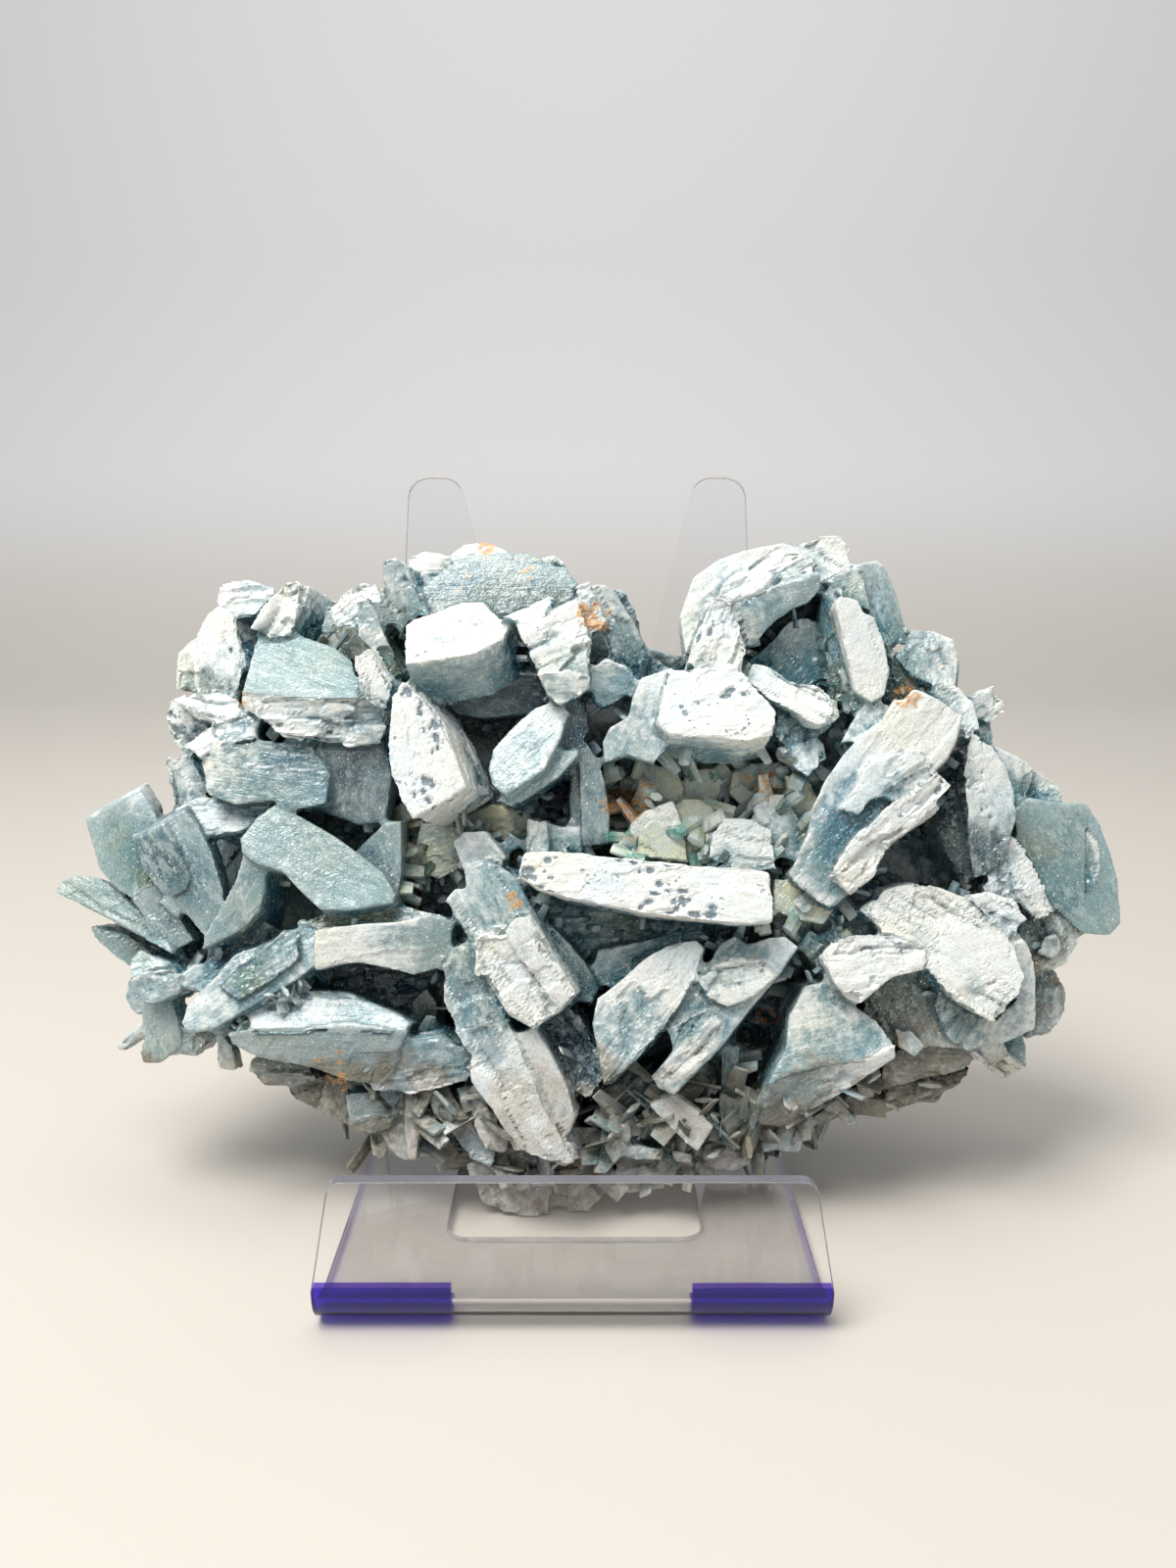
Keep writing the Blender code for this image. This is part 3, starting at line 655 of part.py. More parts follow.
def display_stand():
    """The easel as it is made: a flat sheet is cut out, then bent up at the front and the heel. Along the
    flat sheet, s runs from the top of the lip over its outer side to the tops of the prongs."""
    heel_turn = math.radians(90 - PANEL_LEAN)
    heel_reach = HEEL_RADIUS * math.tan(heel_turn / 2)
    s_bend = LIP_HEIGHT - BEND_RADIUS
    s_floor = s_bend + BEND_RADIUS * math.pi / 2
    s_heel = s_floor + HEEL_BACK - heel_reach - LIP_FRONT - BEND_RADIUS
    s_panel = s_heel + HEEL_RADIUS * heel_turn
    s_top = s_panel + PANEL_HEIGHT / math.cos(math.radians(PANEL_LEAN)) - heel_reach
    y_floor = LIP_FRONT + BEND_RADIUS

    prong_inner = PANEL_TOP_HALF_WIDTH - PRONG_WIDTH
    right = [
        (LIP_TOP_HALF_WIDTH, 0, CORNER_RADIUS),
        (STRIP_HALF_WIDTH, s_bend, 0),
        (STRIP_HALF_WIDTH, s_panel, 0),
        (PANEL_TOP_HALF_WIDTH, s_top, PRONG_WIDTH * 0.42),
        (prong_inner, s_top, PRONG_WIDTH * 0.42),
        (0.6, s_top - NOTCH_DEPTH, NOTCH_FOOT_RADIUS),
    ]
    outline = right + [(-x, s, radius) for x, s, radius in reversed(right)]
    sheet = sheet_prism(rounded(outline), 0, SHEET)
    window = rounded([
        (WINDOW_HALF_WIDTH, s_floor + WINDOW_FRONT - y_floor, WINDOW_CORNER),
        (WINDOW_HALF_WIDTH, s_floor + WINDOW_BACK - y_floor, WINDOW_CORNER),
        (-WINDOW_HALF_WIDTH, s_floor + WINDOW_BACK - y_floor, WINDOW_CORNER),
        (-WINDOW_HALF_WIDTH, s_floor + WINDOW_FRONT - y_floor, WINDOW_CORNER),
    ])
    cut = as_object(sheet, "sheet")
    cutter = as_object(sheet_prism(window, -SHEET, 2 * SHEET), "window")
    cutter.hide_render = True
    cutter.display_type = "WIRE"
    opening = cut.modifiers.new("window", "BOOLEAN")
    opening.operation = "DIFFERENCE"
    opening.object = cutter
    opening.solver = "EXACT"
    mesh = evaluated_mesh(cut, "display_stand")
    discard([cut, cutter])

    bm = bmesh.new()
    bm.from_mesh(mesh)
    creases = [s_bend + (s_floor - s_bend) * k / BEND_STEPS for k in range(BEND_STEPS + 1)]
    creases += [s_heel + (s_panel - s_heel) * k / BEND_STEPS for k in range(BEND_STEPS + 1)]
    for s in creases:
        geom = bm.verts[:] + bm.edges[:] + bm.faces[:]
        bmesh.ops.bisect_plane(bm, geom=geom, dist=1e-4, plane_co=(0, s, 0), plane_no=(0, 1, 0))
    lean = math.radians(PANEL_LEAN)
    for vert in bm.verts:
        x, s, t = vert.co
        if s <= s_bend:
            y, z, facing = LIP_FRONT, LIP_HEIGHT - s, (1, 0)
        elif s <= s_floor:
            turn = (s - s_bend) / BEND_RADIUS
            facing = (math.cos(turn), math.sin(turn))
            y = y_floor - BEND_RADIUS * facing[0]
            z = BEND_RADIUS - BEND_RADIUS * facing[1]
        elif s <= s_heel:
            y, z, facing = y_floor + s - s_floor, 0, (0, 1)
        elif s <= s_panel:
            turn = (s - s_heel) / HEEL_RADIUS
            facing = (-math.sin(turn), math.cos(turn))
            y = HEEL_BACK - heel_reach - HEEL_RADIUS * facing[0]
            z = HEEL_RADIUS - HEEL_RADIUS * facing[1]
        else:
            along = s - s_panel + heel_reach
            facing = (-math.cos(lean), math.sin(lean))
            y, z = HEEL_BACK + along * math.sin(lean), along * math.cos(lean)
        vert.co = Vector((x, y + t * facing[0], z + t * facing[1])) * MM
    bmesh.ops.recalc_face_normals(bm, faces=bm.faces[:])
    bm.to_mesh(mesh)
    bm.free()
    obj = bpy.data.objects.new("display_stand", mesh)
    bpy.context.scene.collection.objects.link(obj)
    mesh.materials.clear()
    mesh.materials.append(material("clear_acrylic", (0.97, 0.98, 0.99), 0.02, 1.0))
    return obj


def barite_cluster():
    crystals = (
        upper_left_crystals() + left_fan_crystals() + upper_middle_crystals() + upper_right_crystals()
        + right_crystals() + middle_crystals() + lower_left_crystals() + lower_right_crystals()
    )
    mesh = united(matrix_body(), crystals + back_plates())
    mesh.name = "barite_cluster"
    bm = bmesh.new()
    bm.from_mesh(mesh)
    heel, facing = panel_plane()
    cut_below(bm, (heel + facing * (SHEET + REST_GAP)) * MM, facing)
    cut_below(bm, Vector((0, 0, 0)), Vector((0, 0, 1)))
    largest_shell(bm)
    bmesh.ops.recalc_face_normals(bm, faces=bm.faces[:])
    bm.to_mesh(mesh)
    bm.free()
    obj = bpy.data.objects.new("barite_cluster", mesh)
    bpy.context.scene.collection.objects.link(obj)
    mesh.materials.clear()
    mesh.materials.append(material("barite", (0.62, 0.66, 0.66), 0.35))
    return obj


def main():
    for obj in list(bpy.data.objects):
        bpy.data.objects.remove(obj, do_unlink=True)
    display_stand()
    barite_cluster()


main()
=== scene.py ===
"""Looks of a blue barite cluster in its clear display easel: finish of the crystals, the bent sheet, floor,
light and camera. Lengths are in metres, or in millimetres where a comment says so."""

import itertools
import math

import bmesh
import bpy
import numpy as np
from mathutils import Matrix, Vector
from mathutils.bvhtree import BVHTree


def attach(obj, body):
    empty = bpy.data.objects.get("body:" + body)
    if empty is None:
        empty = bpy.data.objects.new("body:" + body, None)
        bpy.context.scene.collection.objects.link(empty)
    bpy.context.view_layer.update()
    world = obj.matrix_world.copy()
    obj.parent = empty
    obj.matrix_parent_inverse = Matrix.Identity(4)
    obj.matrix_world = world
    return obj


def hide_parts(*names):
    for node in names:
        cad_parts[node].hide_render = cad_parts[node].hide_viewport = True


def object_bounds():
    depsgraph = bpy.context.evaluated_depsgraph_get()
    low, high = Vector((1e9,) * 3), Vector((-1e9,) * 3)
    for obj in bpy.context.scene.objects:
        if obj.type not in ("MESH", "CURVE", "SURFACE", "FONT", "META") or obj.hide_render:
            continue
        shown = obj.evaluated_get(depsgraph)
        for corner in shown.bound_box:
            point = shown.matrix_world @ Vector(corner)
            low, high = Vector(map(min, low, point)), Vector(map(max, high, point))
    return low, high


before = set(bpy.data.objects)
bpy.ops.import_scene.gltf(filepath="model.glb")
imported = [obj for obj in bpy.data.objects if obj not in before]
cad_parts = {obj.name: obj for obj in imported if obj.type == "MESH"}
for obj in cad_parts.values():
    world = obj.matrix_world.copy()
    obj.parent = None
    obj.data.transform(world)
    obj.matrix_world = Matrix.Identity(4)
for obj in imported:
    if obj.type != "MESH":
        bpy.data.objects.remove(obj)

cad_low, cad_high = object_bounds()

# Camera
# The specimen is seen at arm's length with a wide lens, so its nearer crystals look larger. The drawing
# plane of the cluster, which leans back with it, is square to the line of sight.
MM = 0.001
PLANE_CENTRE = Vector((0.003, 0.0487, 0.0964))
PLANE_LEAN = math.radians(10.9)
SIGHT_DISTANCE = 0.297
LENS_MM = 29.8
SENSOR_MM = 36
PLANE_RIGHT = Vector((1, 0, 0))
PLANE_UP = Vector((0, math.sin(PLANE_LEAN), math.cos(PLANE_LEAN)))
PLANE_FRONT = PLANE_RIGHT.cross(PLANE_UP)
NEAREST_SHOWN = 10 * MM

camera = bpy.data.objects.new("camera", bpy.data.cameras.new("camera"))
camera.data.lens = LENS_MM
camera.data.sensor_width = SENSOR_MM
camera.data.clip_start = NEAREST_SHOWN
plane_turn = Matrix((PLANE_RIGHT, PLANE_UP, PLANE_FRONT)).transposed().to_4x4()
camera.matrix_world = Matrix.Translation(PLANE_CENTRE + PLANE_FRONT * SIGHT_DISTANCE) @ plane_turn
bpy.context.scene.collection.objects.link(camera)
bpy.context.scene.camera = camera

# Barite crystals
# Thick tabular crystals, fused where they meet, on a matrix of broken blades. They are blue-grey and milky
# inside, with white etched coats, cleavage steps along their length and layered sides.
VOXEL = 0.62 * MM

# Each row is a place on the drawing plane, in mm right and up as it is seen, and the look of the crystals
# there: the body, how much of it the white coat covers, the direction in degrees in which the coat
# thickens, and the share of the coat that is etched through to dark pits
LOOKS = (
    (-78, 43, "blue", 0.75, 90, 0.1), (-71, 41, "grey", 0.8, 90, 0.0), (-66, 27, "green", 0.1, 180, 0.05),
    (-62, 13, "blue", 0.85, None, 0.35), (-87, 30, "grey", 0.75, 60, 0.3),
    (-86, 18, "grey", 0.9, None, 0.1), (-92, 14, "navy", 0.7, None, 0.5),
    (-82, 10, "blue", 0.75, None, 0.45), (-73, 2, "teal", 0.3, 150, 0.2), (-53, 0, "navy", 0.1, None, 0.0),
    (-92, 1, "grey", 0.65, None, 0.15), (-83, -6, "blue", 0.65, 90, 0.0),
    (-107, -13, "green", 0.15, 100, 0.0), (-94, -17, "teal", 0.1, 90, 0.05),
    (-97, -31, "teal", 0.1, None, 0.0), (-110, -29, "green", 0.15, 270, 0.0),
    (-106, -37, "teal", 0.1, None, 0.0), (-80, -26, "blue", 0.2, None, 0.0),
    (-80, -36, "navy", 0.05, None, 0.0), (-62, -18, "green", 0.15, 270, 0.1),
    (-47, -18, "teal", 0.2, None, 0.0), (-50, -30, "grey", 0.5, None, 0.0),
    (-54, -37, "blue", 0.6, 180, 0.05), (-40, -36, "green", 0.6, 180, 0.0),
    (-76, -46, "blue", 0.35, None, 0.1), (-86, -43, "blue", 0.4, None, 0.1),
    (-98, -46, "blue", 0.35, None, 0.1), (-99, -41, "blue", 0.25, None, 0.0),
    (-98, -57, "grey", 0.25, None, 0.0), (-104, -48, "grey", 0.85, None, 0.0),
    (-105, -59, "grey", 0.5, None, 0.0), (-92, -59, "grey", 0.5, None, 0.0),
    (-84, -60, "grey", 0.6, None, 0.0), (-48, 34, "grey", 0.45, None, 0.3),
    (-43, 46, "grey", 0.45, None, 0.3), (-53, 42, "grey", 0.85, None, 0.0),
    (-59, 37, "grey", 0.6, None, 0.0), (-53, 32, "tan", 0.25, None, 0.1), (-49, 24, "grey", 0.8, None, 0.2),
    (-36, 50, "grey", 0.8, None, 0.0), (-24, 53, "grey", 0.7, None, 0.0), (-7, 50, "blue", 0.5, None, 0.1),
    (-20, 46, "teal", -0.2, 180, 0.0), (-30, 35, "blue", 0.65, 90, 0.25), (-8, 32, "blue", 0.6, 90, 0.4),
    (-13, 40, "blue", 0.45, None, 0.0), (0, 40, "grey", 0.6, None, 0.1), (-1, 45, "grey", 0.6, None, 0.0),
    (7, 33, "teal", 0.4, 180, 0.1), (8, 42, "grey", 0.6, None, 0.0), (13, 27, "blue", 0.4, None, 0.0),
    (-5, 22, "blue", 0.5, None, 0.1), (5, 23, "blue", 0.4, None, 0.1), (-24, 20, "navy", 0.0, None, 0.0),
    (-37, 6, "blue", 1.05, None, 0.6), (-14, 9, "blue", 0.3, 60, 0.05), (-3, 13, "navy", 0.1, None, 0.0),
    (-11, 0, "blue", 0.3, None, 0.0), (2, -4, "navy", 0.15, None, 0.0), (-3, -4, "navy", 0.2, None, 0.0),
    (-18, -13, "grey", 0.6, None, 0.0), (-28, -14, "yellow", 0.25, None, 0.0),
    (33, 47, "grey", 0.9, 135, 0.1), (41, 50, "blue", 0.7, 135, 0.35), (45, 43, "blue", 0.35, 160, 0.3),
    (29, 34, "blue", 0.75, None, 0.4), (55, 52, "grey", 0.75, None, 0.05), (66, 42, "grey", 0.3, 180, 0.0),
    (59, 45, "blue", 0.4, None, 0.0), (63, 31, "grey", 0.9, None, 0.0), (57, 30, "blue", 0.5, None, 0.4),
    (47, 31, "grey", 0.6, None, 0.15), (47, 21, "grey", 0.85, None, 0.2), (50, 8, "blue", 0.5, None, 0.45),
    (45, 14, "grey", 0.6, None, 0.1), (30, 18, "blue", 0.95, 60, 0.6), (11, 14, "blue", 0.45, 60, 0.0),
    (63, 14, "grey", 0.7, None, 0.0), (78, 29, "green", 0.35, 0, 0.0), (73, 24, "tan", 0.25, None, 0.0),
    (85, 17, "grey", 0.6, None, 0.0), (92, 18, "grey", 0.6, None, 0.3), (90, 12, "blue", 0.4, None, 0.0),
    (62, -2, "blue", 0.8, 50, 0.15), (69, 1, "blue", 0.75, None, 0.15), (69, -11, "blue", 0.85, None, 0.35),
    (92, -3, "navy", 0.55, 90, 0.45), (85, -3, "navy", 0.3, 90, 0.2), (98, 3, "grey", 0.5, None, 0.0),
    (105, 0, "grey", 0.6, None, 0.0), (110, -19, "green", 0.05, 60, 0.05),
    (115, -18, "grey", 0.75, None, 0.0), (100, -22, "navy", 0.7, None, 0.4),
    (106, -35, "tan", 0.5, None, 0.15), (80, -34, "blue", 0.85, 60, 0.2),
    (95, -28, "navy", 0.7, None, 0.35), (65, -41, "blue", 0.9, None, 0.2),
    (93, -50, "blue", 0.6, None, 0.3), (76, -52, "tan", 0.35, None, 0.0), (73, -60, "tan", 0.3, None, 0.0),
    (78, -64, "tan", 0.4, None, 0.0), (76, -71, "tan", 0.35, None, 0.0), (83, -68, "tan", 0.3, None, 0.0),
    (94, -63, "grey", 0.9, None, 0.0), (98, -60, "green", 0.2, None, 0.0),
    (105, -50, "tan", 0.35, None, 0.0), (13, -24, "blue", 1.1, None, 0.6),
    (-11, -12, "grey", 0.5, None, 0.0), (-5, -13, "grey", 0.5, None, 0.0),
    (16, -11, "yellow", 0.45, None, 0.0), (25, -10, "yellow", 0.2, None, 0.0),
    (36, -13, "grey", 0.7, None, 0.05), (45, -10, "grey", 0.6, None, 0.0),
    (17, 0, "yellow", 0.1, None, 0.0), (26, 0, "yellow", 0.1, None, 0.0),
    (39, 0, "yellow", 0.15, None, 0.0), (49, -3, "yellow", 0.3, None, 0.0),
    (48, -27, "yellow", 0.3, None, 0.0), (49, -33, "tan", 0.2, None, 0.0),
    (53, -39, "grey", 0.4, None, 0.1), (62, -31, "blue", 0.45, None, 0.2),
    (-25, -15, "grey", 0.5, None, 0.0), (-22, -26, "blue", 0.35, 270, 0.0),
    (-20, -45, "blue", 0.85, None, 0.15), (-12, -41, "blue", 0.85, None, 0.25),
    (-4, -41, "teal", 0.2, None, 0.0), (-20, -62, "blue", 0.8, 300, 0.05),
    (-9, -69, "grey", 0.7, None, 0.1), (-3, -62, "navy", 0.6, None, 0.5), (13, -52, "blue", 0.6, 60, 0.1),
    (30, -52, "blue", 0.5, None, 0.0), (35, -45, "grey", 0.75, None, 0.15),
    (23, -60, "grey", 0.75, None, 0.1), (57, -55, "blue", 0.35, 90, 0.05), (53, -69, "grey", 0.5, 30, 0.0),
    (17, -39, "green", 0.6, None, 0.0), (10, -34, "green", 0.6, None, 0.0),
    (-58, -52, "blue", 0.4, 150, 0.1), (-63, -61, "grey", 0.3, 90, 0.0),
    (-47, -57, "teal", 0.25, None, 0.0), (-38, -64, "blue", 0.4, 270, 0.0),
    (-78, -54, "grey", 0.6, None, 0.0), (-46, -47, "navy", 0.05, None, 0.0),
    (-37, -52, "tan", 0.2, None, 0.0), (-70, -66, "tan", 0.35, None, 0.0),
    (-65, -71, "tan", 0.3, None, 0.0), (-54, -72, "tan", 0.35, None, 0.0),
    (-48, -76, "grey", 0.4, None, 0.0), (-40, -79, "grey", 0.5, None, 0.0),
    (-28, -78, "grey", 0.5, None, 0.0), (-22, -77, "grey", 0.55, None, 0.0),
    (-33, -83, "tan", 0.45, None, 0.0), (21, -77, "grey", 0.9, None, 0.0),
    (16, -85, "grey", 0.5, None, 0.0), (32, -70, "blue", 0.3, None, 0.0), (6, -83, "grey", 0.5, None, 0.0),
    (13, -88, "tan", 0.5, None, 0.0), (31, -84, "tan", 0.5, None, 0.0), (44, -81, "grey", 0.5, None, 0.0),
    (36, -75, "grey", 0.7, None, 0.0), (57, -75, "grey", 0.5, None, 0.0), (63, -72, "tan", 0.45, None, 0.0),
    (64, -69, "grey", 0.5, None, 0.0), (20, -72, "navy", 0.1, None, 0.0), (1, -77, "navy", 0.1, None, 0.0),
    (-15, -93, "tan", 0.6, None, 0.0), (-3, -94, "tan", 0.6, None, 0.0), (8, -90, "tan", 0.5, None, 0.0),
    (-12, -88, "tan", 0.5, None, 0.0),
)
# A crystal farther than this from every place above, in mm, or turned away from the front, is at the back
LOOK_REACH = 16.0
TURNED_AWAY = -0.2
BACK_LOOK = ("grey", 0.35, None, 0.1)
# The matrix deep between the crystals, but for the middle recess with its druse, is dark teal, in part as
# painted shade of the crevices: ranges in mm on the drawing plane
HIDDEN_LOOK = ("teal", 0.2, None, 0.0)
HIDDEN_DEPTH = -20
HIDDEN_MIDDLE = (0, -5)
HIDDEN_RADIUS = 75
HIDDEN_LOWEST = -62
RECESS_ACROSS = (0, 55)
RECESS_UP = (-25, 10)
BODY_COLOURS = {
    "blue": (0.145, 0.275, 0.325),
    "teal": (0.095, 0.185, 0.225),
    "navy": (0.045, 0.095, 0.135),
    "green": (0.20, 0.31, 0.32),
    "grey": (0.30, 0.37, 0.375),
    "tan": (0.235, 0.19, 0.145),
    "yellow": (0.74, 0.67, 0.41),
}
# How far the painted shade darkens a body from its free tip to its root, where it isn't all the way
DARKENING = {"yellow": 0.25, "green": 0.85}
# Crystals that kept smooth, unbroken faces, by their places in the list of looks
UNBROKEN_PLACES = (
    (13, -24), (-37, 6), (-14, 9), (63, 31), (-9, -69), (30, -52), (11, 14), (-94, -17), (-107, -13),
    (-62, -18), (-40, -36), (-73, 2), (-66, 27), (-30, 35), (62, -2), (-24, 20), (-80, -26), (21, -77),
    (66, 42), (110, -19), (-53, 0), (-58, -52), (-20, 46), (33, 47), (30, 18), (57, -55),
)
# Places where iron has stained the crystals, in mm on the drawing plane, with a radius and a strength
IRON_STAINS = (
    (-23, 55, 5, 1.0), (-14, 50, 6, 0.5), (-27, 46, 6, 0.4), (1, 39, 6, 1.0), (3, 36, 4, 0.8),
    (-38, 38, 4, 0.5), (-79, 20, 4, 0.7), (-17, -27, 3.5, 0.9), (8, -4, 8, 1.3), (41, 0, 5, 1.2),
    (28, -3, 4, 0.8), (-39, -26, 5, 0.8), (-58, -66, 9, 0.6), (41, -53, 5, 0.8), (73, 20, 6, 0.8),
    (72, 47, 4, 0.5), (82, 29, 5, 0.4), (74, 21, 5, 0.4),
)

SAME_POINT = 0.001 * MM
solid = bmesh.new()
solid.from_mesh(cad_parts["barite_cluster"].data)
bmesh.ops.remove_doubles(solid, verts=solid.verts, dist=SAME_POINT)
solid.normal_update()
solid.faces.ensure_lookup_table()

# The crystals are the parts of the solid between its inward edges
INWARD_EDGE = -math.radians(1)
crystal_of = [-1] * len(solid.faces)
crystals = []
for first in solid.faces:
    if crystal_of[first.index] >= 0:
        continue
    crystal_of[first.index] = len(crystals)
    members = []
    waiting = [first]
    while waiting:
        face = waiting.pop()
        members.append(face)
        for edge in face.edges:
            if edge.calc_face_angle_signed(0) > INWARD_EDGE:
                for other in edge.link_faces:
                    if crystal_of[other.index] < 0:
                        crystal_of[other.index] = len(crystals)
                        waiting.append(other)
    crystals.append(members)


def on_plane(points):
    """Where points, in metres, are seen on the drawing plane, in mm right, up and out of it."""
    flat = (points - np.array(PLANE_CENTRE)) @ np.array((PLANE_RIGHT, PLANE_UP, PLANE_FRONT)).T / MM
    nearer = 1 - flat[:, 2] * MM / SIGHT_DISTANCE
    return np.stack((flat[:, 0] / nearer, flat[:, 1] / nearer, flat[:, 2]), axis=1)


# Each crystal's own axes: along, across and out of its broadest face, where a face turned to the front
# counts for more
SEED = 7
SAME_PLANE = 0.999
FRONT_COUNTS = 1.5
chance = np.random.default_rng(SEED)
axes = np.zeros((len(crystals), 3, 3))
centres = np.zeros((len(crystals), 3))
sizes = np.zeros(len(crystals))
for i, members in enumerate(crystals):
    normals = np.array([f.normal for f in members])
    areas = np.array([f.calc_area() for f in members])
    middles = np.array([f.calc_center_median() for f in members])
    breadth = (normals @ normals.T > SAME_PLANE) @ areas
    breadth = breadth * (1 + FRONT_COUNTS * np.maximum(normals @ np.array(PLANE_FRONT), 0))
    out = normals[int(np.argmax(breadth))]
    own = normals @ out > SAME_PLANE
    corners = np.array([v.co for f, is_own in zip(members, own) if is_own for v in f.verts])
    centres[i] = (middles[own] * areas[own, None]).sum(0) / areas[own].sum()
    spread = corners - corners.mean(0)
    along = np.linalg.svd(spread, full_matrices=False)[2][0]
    along = along - out * (along @ out)
    along /= np.linalg.norm(along)
    axes[i] = (along, np.cross(out, along), out)
    sizes[i] = math.sqrt(areas.sum())

seen_centres = on_plane(centres)
places = np.array([row[:2] for row in LOOKS])
body_colour = np.zeros((len(crystals), 3))
cover = np.zeros(len(crystals))
toward = np.zeros((len(crystals), 2))
etched = np.zeros(len(crystals))
darkening = np.ones(len(crystals))
shows_back = np.zeros(len(crystals), bool)
unbroken = np.zeros(len(crystals), bool)
for i, (u, v, w) in enumerate(seen_centres):
    gaps = np.hypot(places[:, 0] - u, places[:, 1] - v)
    nearest = int(np.argmin(gaps))
    is_back = gaps[nearest] > LOOK_REACH or axes[i, 2] @ np.array(PLANE_FRONT) < TURNED_AWAY
    in_recess = RECESS_ACROSS[0] < u < RECESS_ACROSS[1] and RECESS_UP[0] < v < RECESS_UP[1]
    in_middle = np.hypot(u - HIDDEN_MIDDLE[0], v - HIDDEN_MIDDLE[1]) < HIDDEN_RADIUS and v > HIDDEN_LOWEST
    is_hidden = w < HIDDEN_DEPTH and in_middle and not in_recess
    look = BACK_LOOK if is_back else HIDDEN_LOOK if is_hidden else LOOKS[nearest][2:]
    body_colour[i] = np.array(BODY_COLOURS[look[0]]) * chance.uniform(0.88, 1.12)
    shows_back[i] = is_back
    darkening[i] = DARKENING.get(look[0], 1)
    unbroken[i] = not is_back and LOOKS[nearest][:2] in UNBROKEN_PLACES
    cover[i] = look[1] + chance.uniform(-0.05, 0.05)
    if look[2] is not None:
        toward[i] = (math.cos(math.radians(look[2])), math.sin(math.radians(look[2])))
    etched[i] = look[3]


def cell_chance(cells, seed):
    """A steady number from 0 to 1 for each whole-number cell."""
    mixed = np.full(len(cells), 374761393 + seed * 668265263 & 0xFFFFFFFF, np.uint32)
    for k, prime in enumerate((2246822519, 3266489917, 668265263)):
        mixed ^= cells[:, k].astype(np.int64).astype(np.uint32) * np.uint32(prime)
        mixed = (mixed ^ (mixed >> np.uint32(15))) * np.uint32(2246822519)
        mixed ^= mixed >> np.uint32(13)
    return (mixed & np.uint32(0xFFFFFF)).astype(np.float64) / 0xFFFFFF


def eased(part):
    """A rise from 0 to 1 with a soft start and end."""
    return part * part * (3 - 2 * part)


def smooth_between(low, high, values):
    """0 up to low and 1 from high on, with a soft change between them."""
    return eased(np.clip((values - low) / (high - low), 0, 1))


def corners_around(base, part):
    """The eight whole-number corners around points, each with the share that it has in every point."""
    for corner in itertools.product((0, 1), repeat=3):
        yield base + corner, np.prod(np.where(corner, part, 1 - part), axis=1)


def soft_noise(points, seed):
    """Smooth noise from 0 to 1 with a feature in each unit of the points."""
    base = np.floor(points)
    part = eased(points - base)
    return sum(share * cell_chance(corner, seed) for corner, share in corners_around(base, part))


def spots(points, seed):
    """How near each point is to the middle of a scattered spot: 1 at the middle, 0 at its edge and beyond."""
    base = np.floor(points)
    nearest = np.full(len(points), np.inf)
    for step in itertools.product((-1, 0, 1), repeat=3):
        cells = base + step
        middle = np.stack([cell_chance(cells, seed + k) for k in range(3)], axis=1)
        nearest = np.minimum(nearest, np.linalg.norm(cells + middle - points, axis=1))
    return np.clip(1 - nearest / 0.75, 0, 1)


def with_modifier(obj, kind, **settings):
    """The object's mesh after one modifier."""
    modifier = obj.modifiers.new(kind.lower(), kind)
    for name, value in settings.items():
        setattr(modifier, name, value)
    mesh = bpy.data.meshes.new_from_object(obj.evaluated_get(bpy.context.evaluated_depsgraph_get()))
    obj.modifiers.remove(modifier)
    return mesh


def at_points(mesh, what="co"):
    """The places of a mesh's points, or their normals."""
    flat = np.empty(len(mesh.vertices) * 3, np.float32)
    mesh.vertices.foreach_get(what, flat)
    return flat.reshape(-1, 3).astype(np.float64)


def keep_at_points(mesh, **kept):
    """Keep values at a mesh's points for its material: numbers, local as a vector and body as a colour."""
    kinds = {"local": ("FLOAT_VECTOR", "vector"), "body": ("FLOAT_COLOR", "color")}
    for name, values in kept.items():
        kind, key = kinds.get(name, ("FLOAT", "value"))
        if name == "body":
            values = np.column_stack((values, np.ones(len(values))))
        layer = mesh.attributes.new(name, kind, "POINT")
        layer.data.foreach_set(key, np.asarray(values, np.float32).ravel())


def add_object(name, mesh):
    """A new object of the scene, at the origin."""
    obj = bpy.data.objects.new(name, mesh)
    bpy.context.scene.collection.objects.link(obj)
    return obj


# The surface in fine steps, and the same surface with its edges worn a little, more and almost away
coarse = bpy.data.meshes.new("crystals")
solid.to_mesh(coarse)
whole = add_object("crystals", coarse)
whole.data = with_modifier(whole, "REMESH", mode="VOXEL", voxel_size=VOXEL, use_smooth_shade=False)
sharp, worn, rounded = (
    at_points(with_modifier(whole, "SMOOTH", factor=0.5, iterations=steps)) for steps in (1, 12, 60))
outward = at_points(whole.data, "normal")

# Which crystal each point of the fine surface belongs to, and where it lies in that crystal
facets = BVHTree.FromBMesh(solid)
owner = np.array([crystal_of[facets.find_nearest(p)[2]] for p in sharp.tolist()])
own_axes = axes[owner]
offset = chance.uniform(-400, 400, (len(crystals), 3))
local = np.einsum("nij,nj->ni", own_axes, sharp - centres[owner]) / MM + offset[owner]
place = on_plane(sharp)

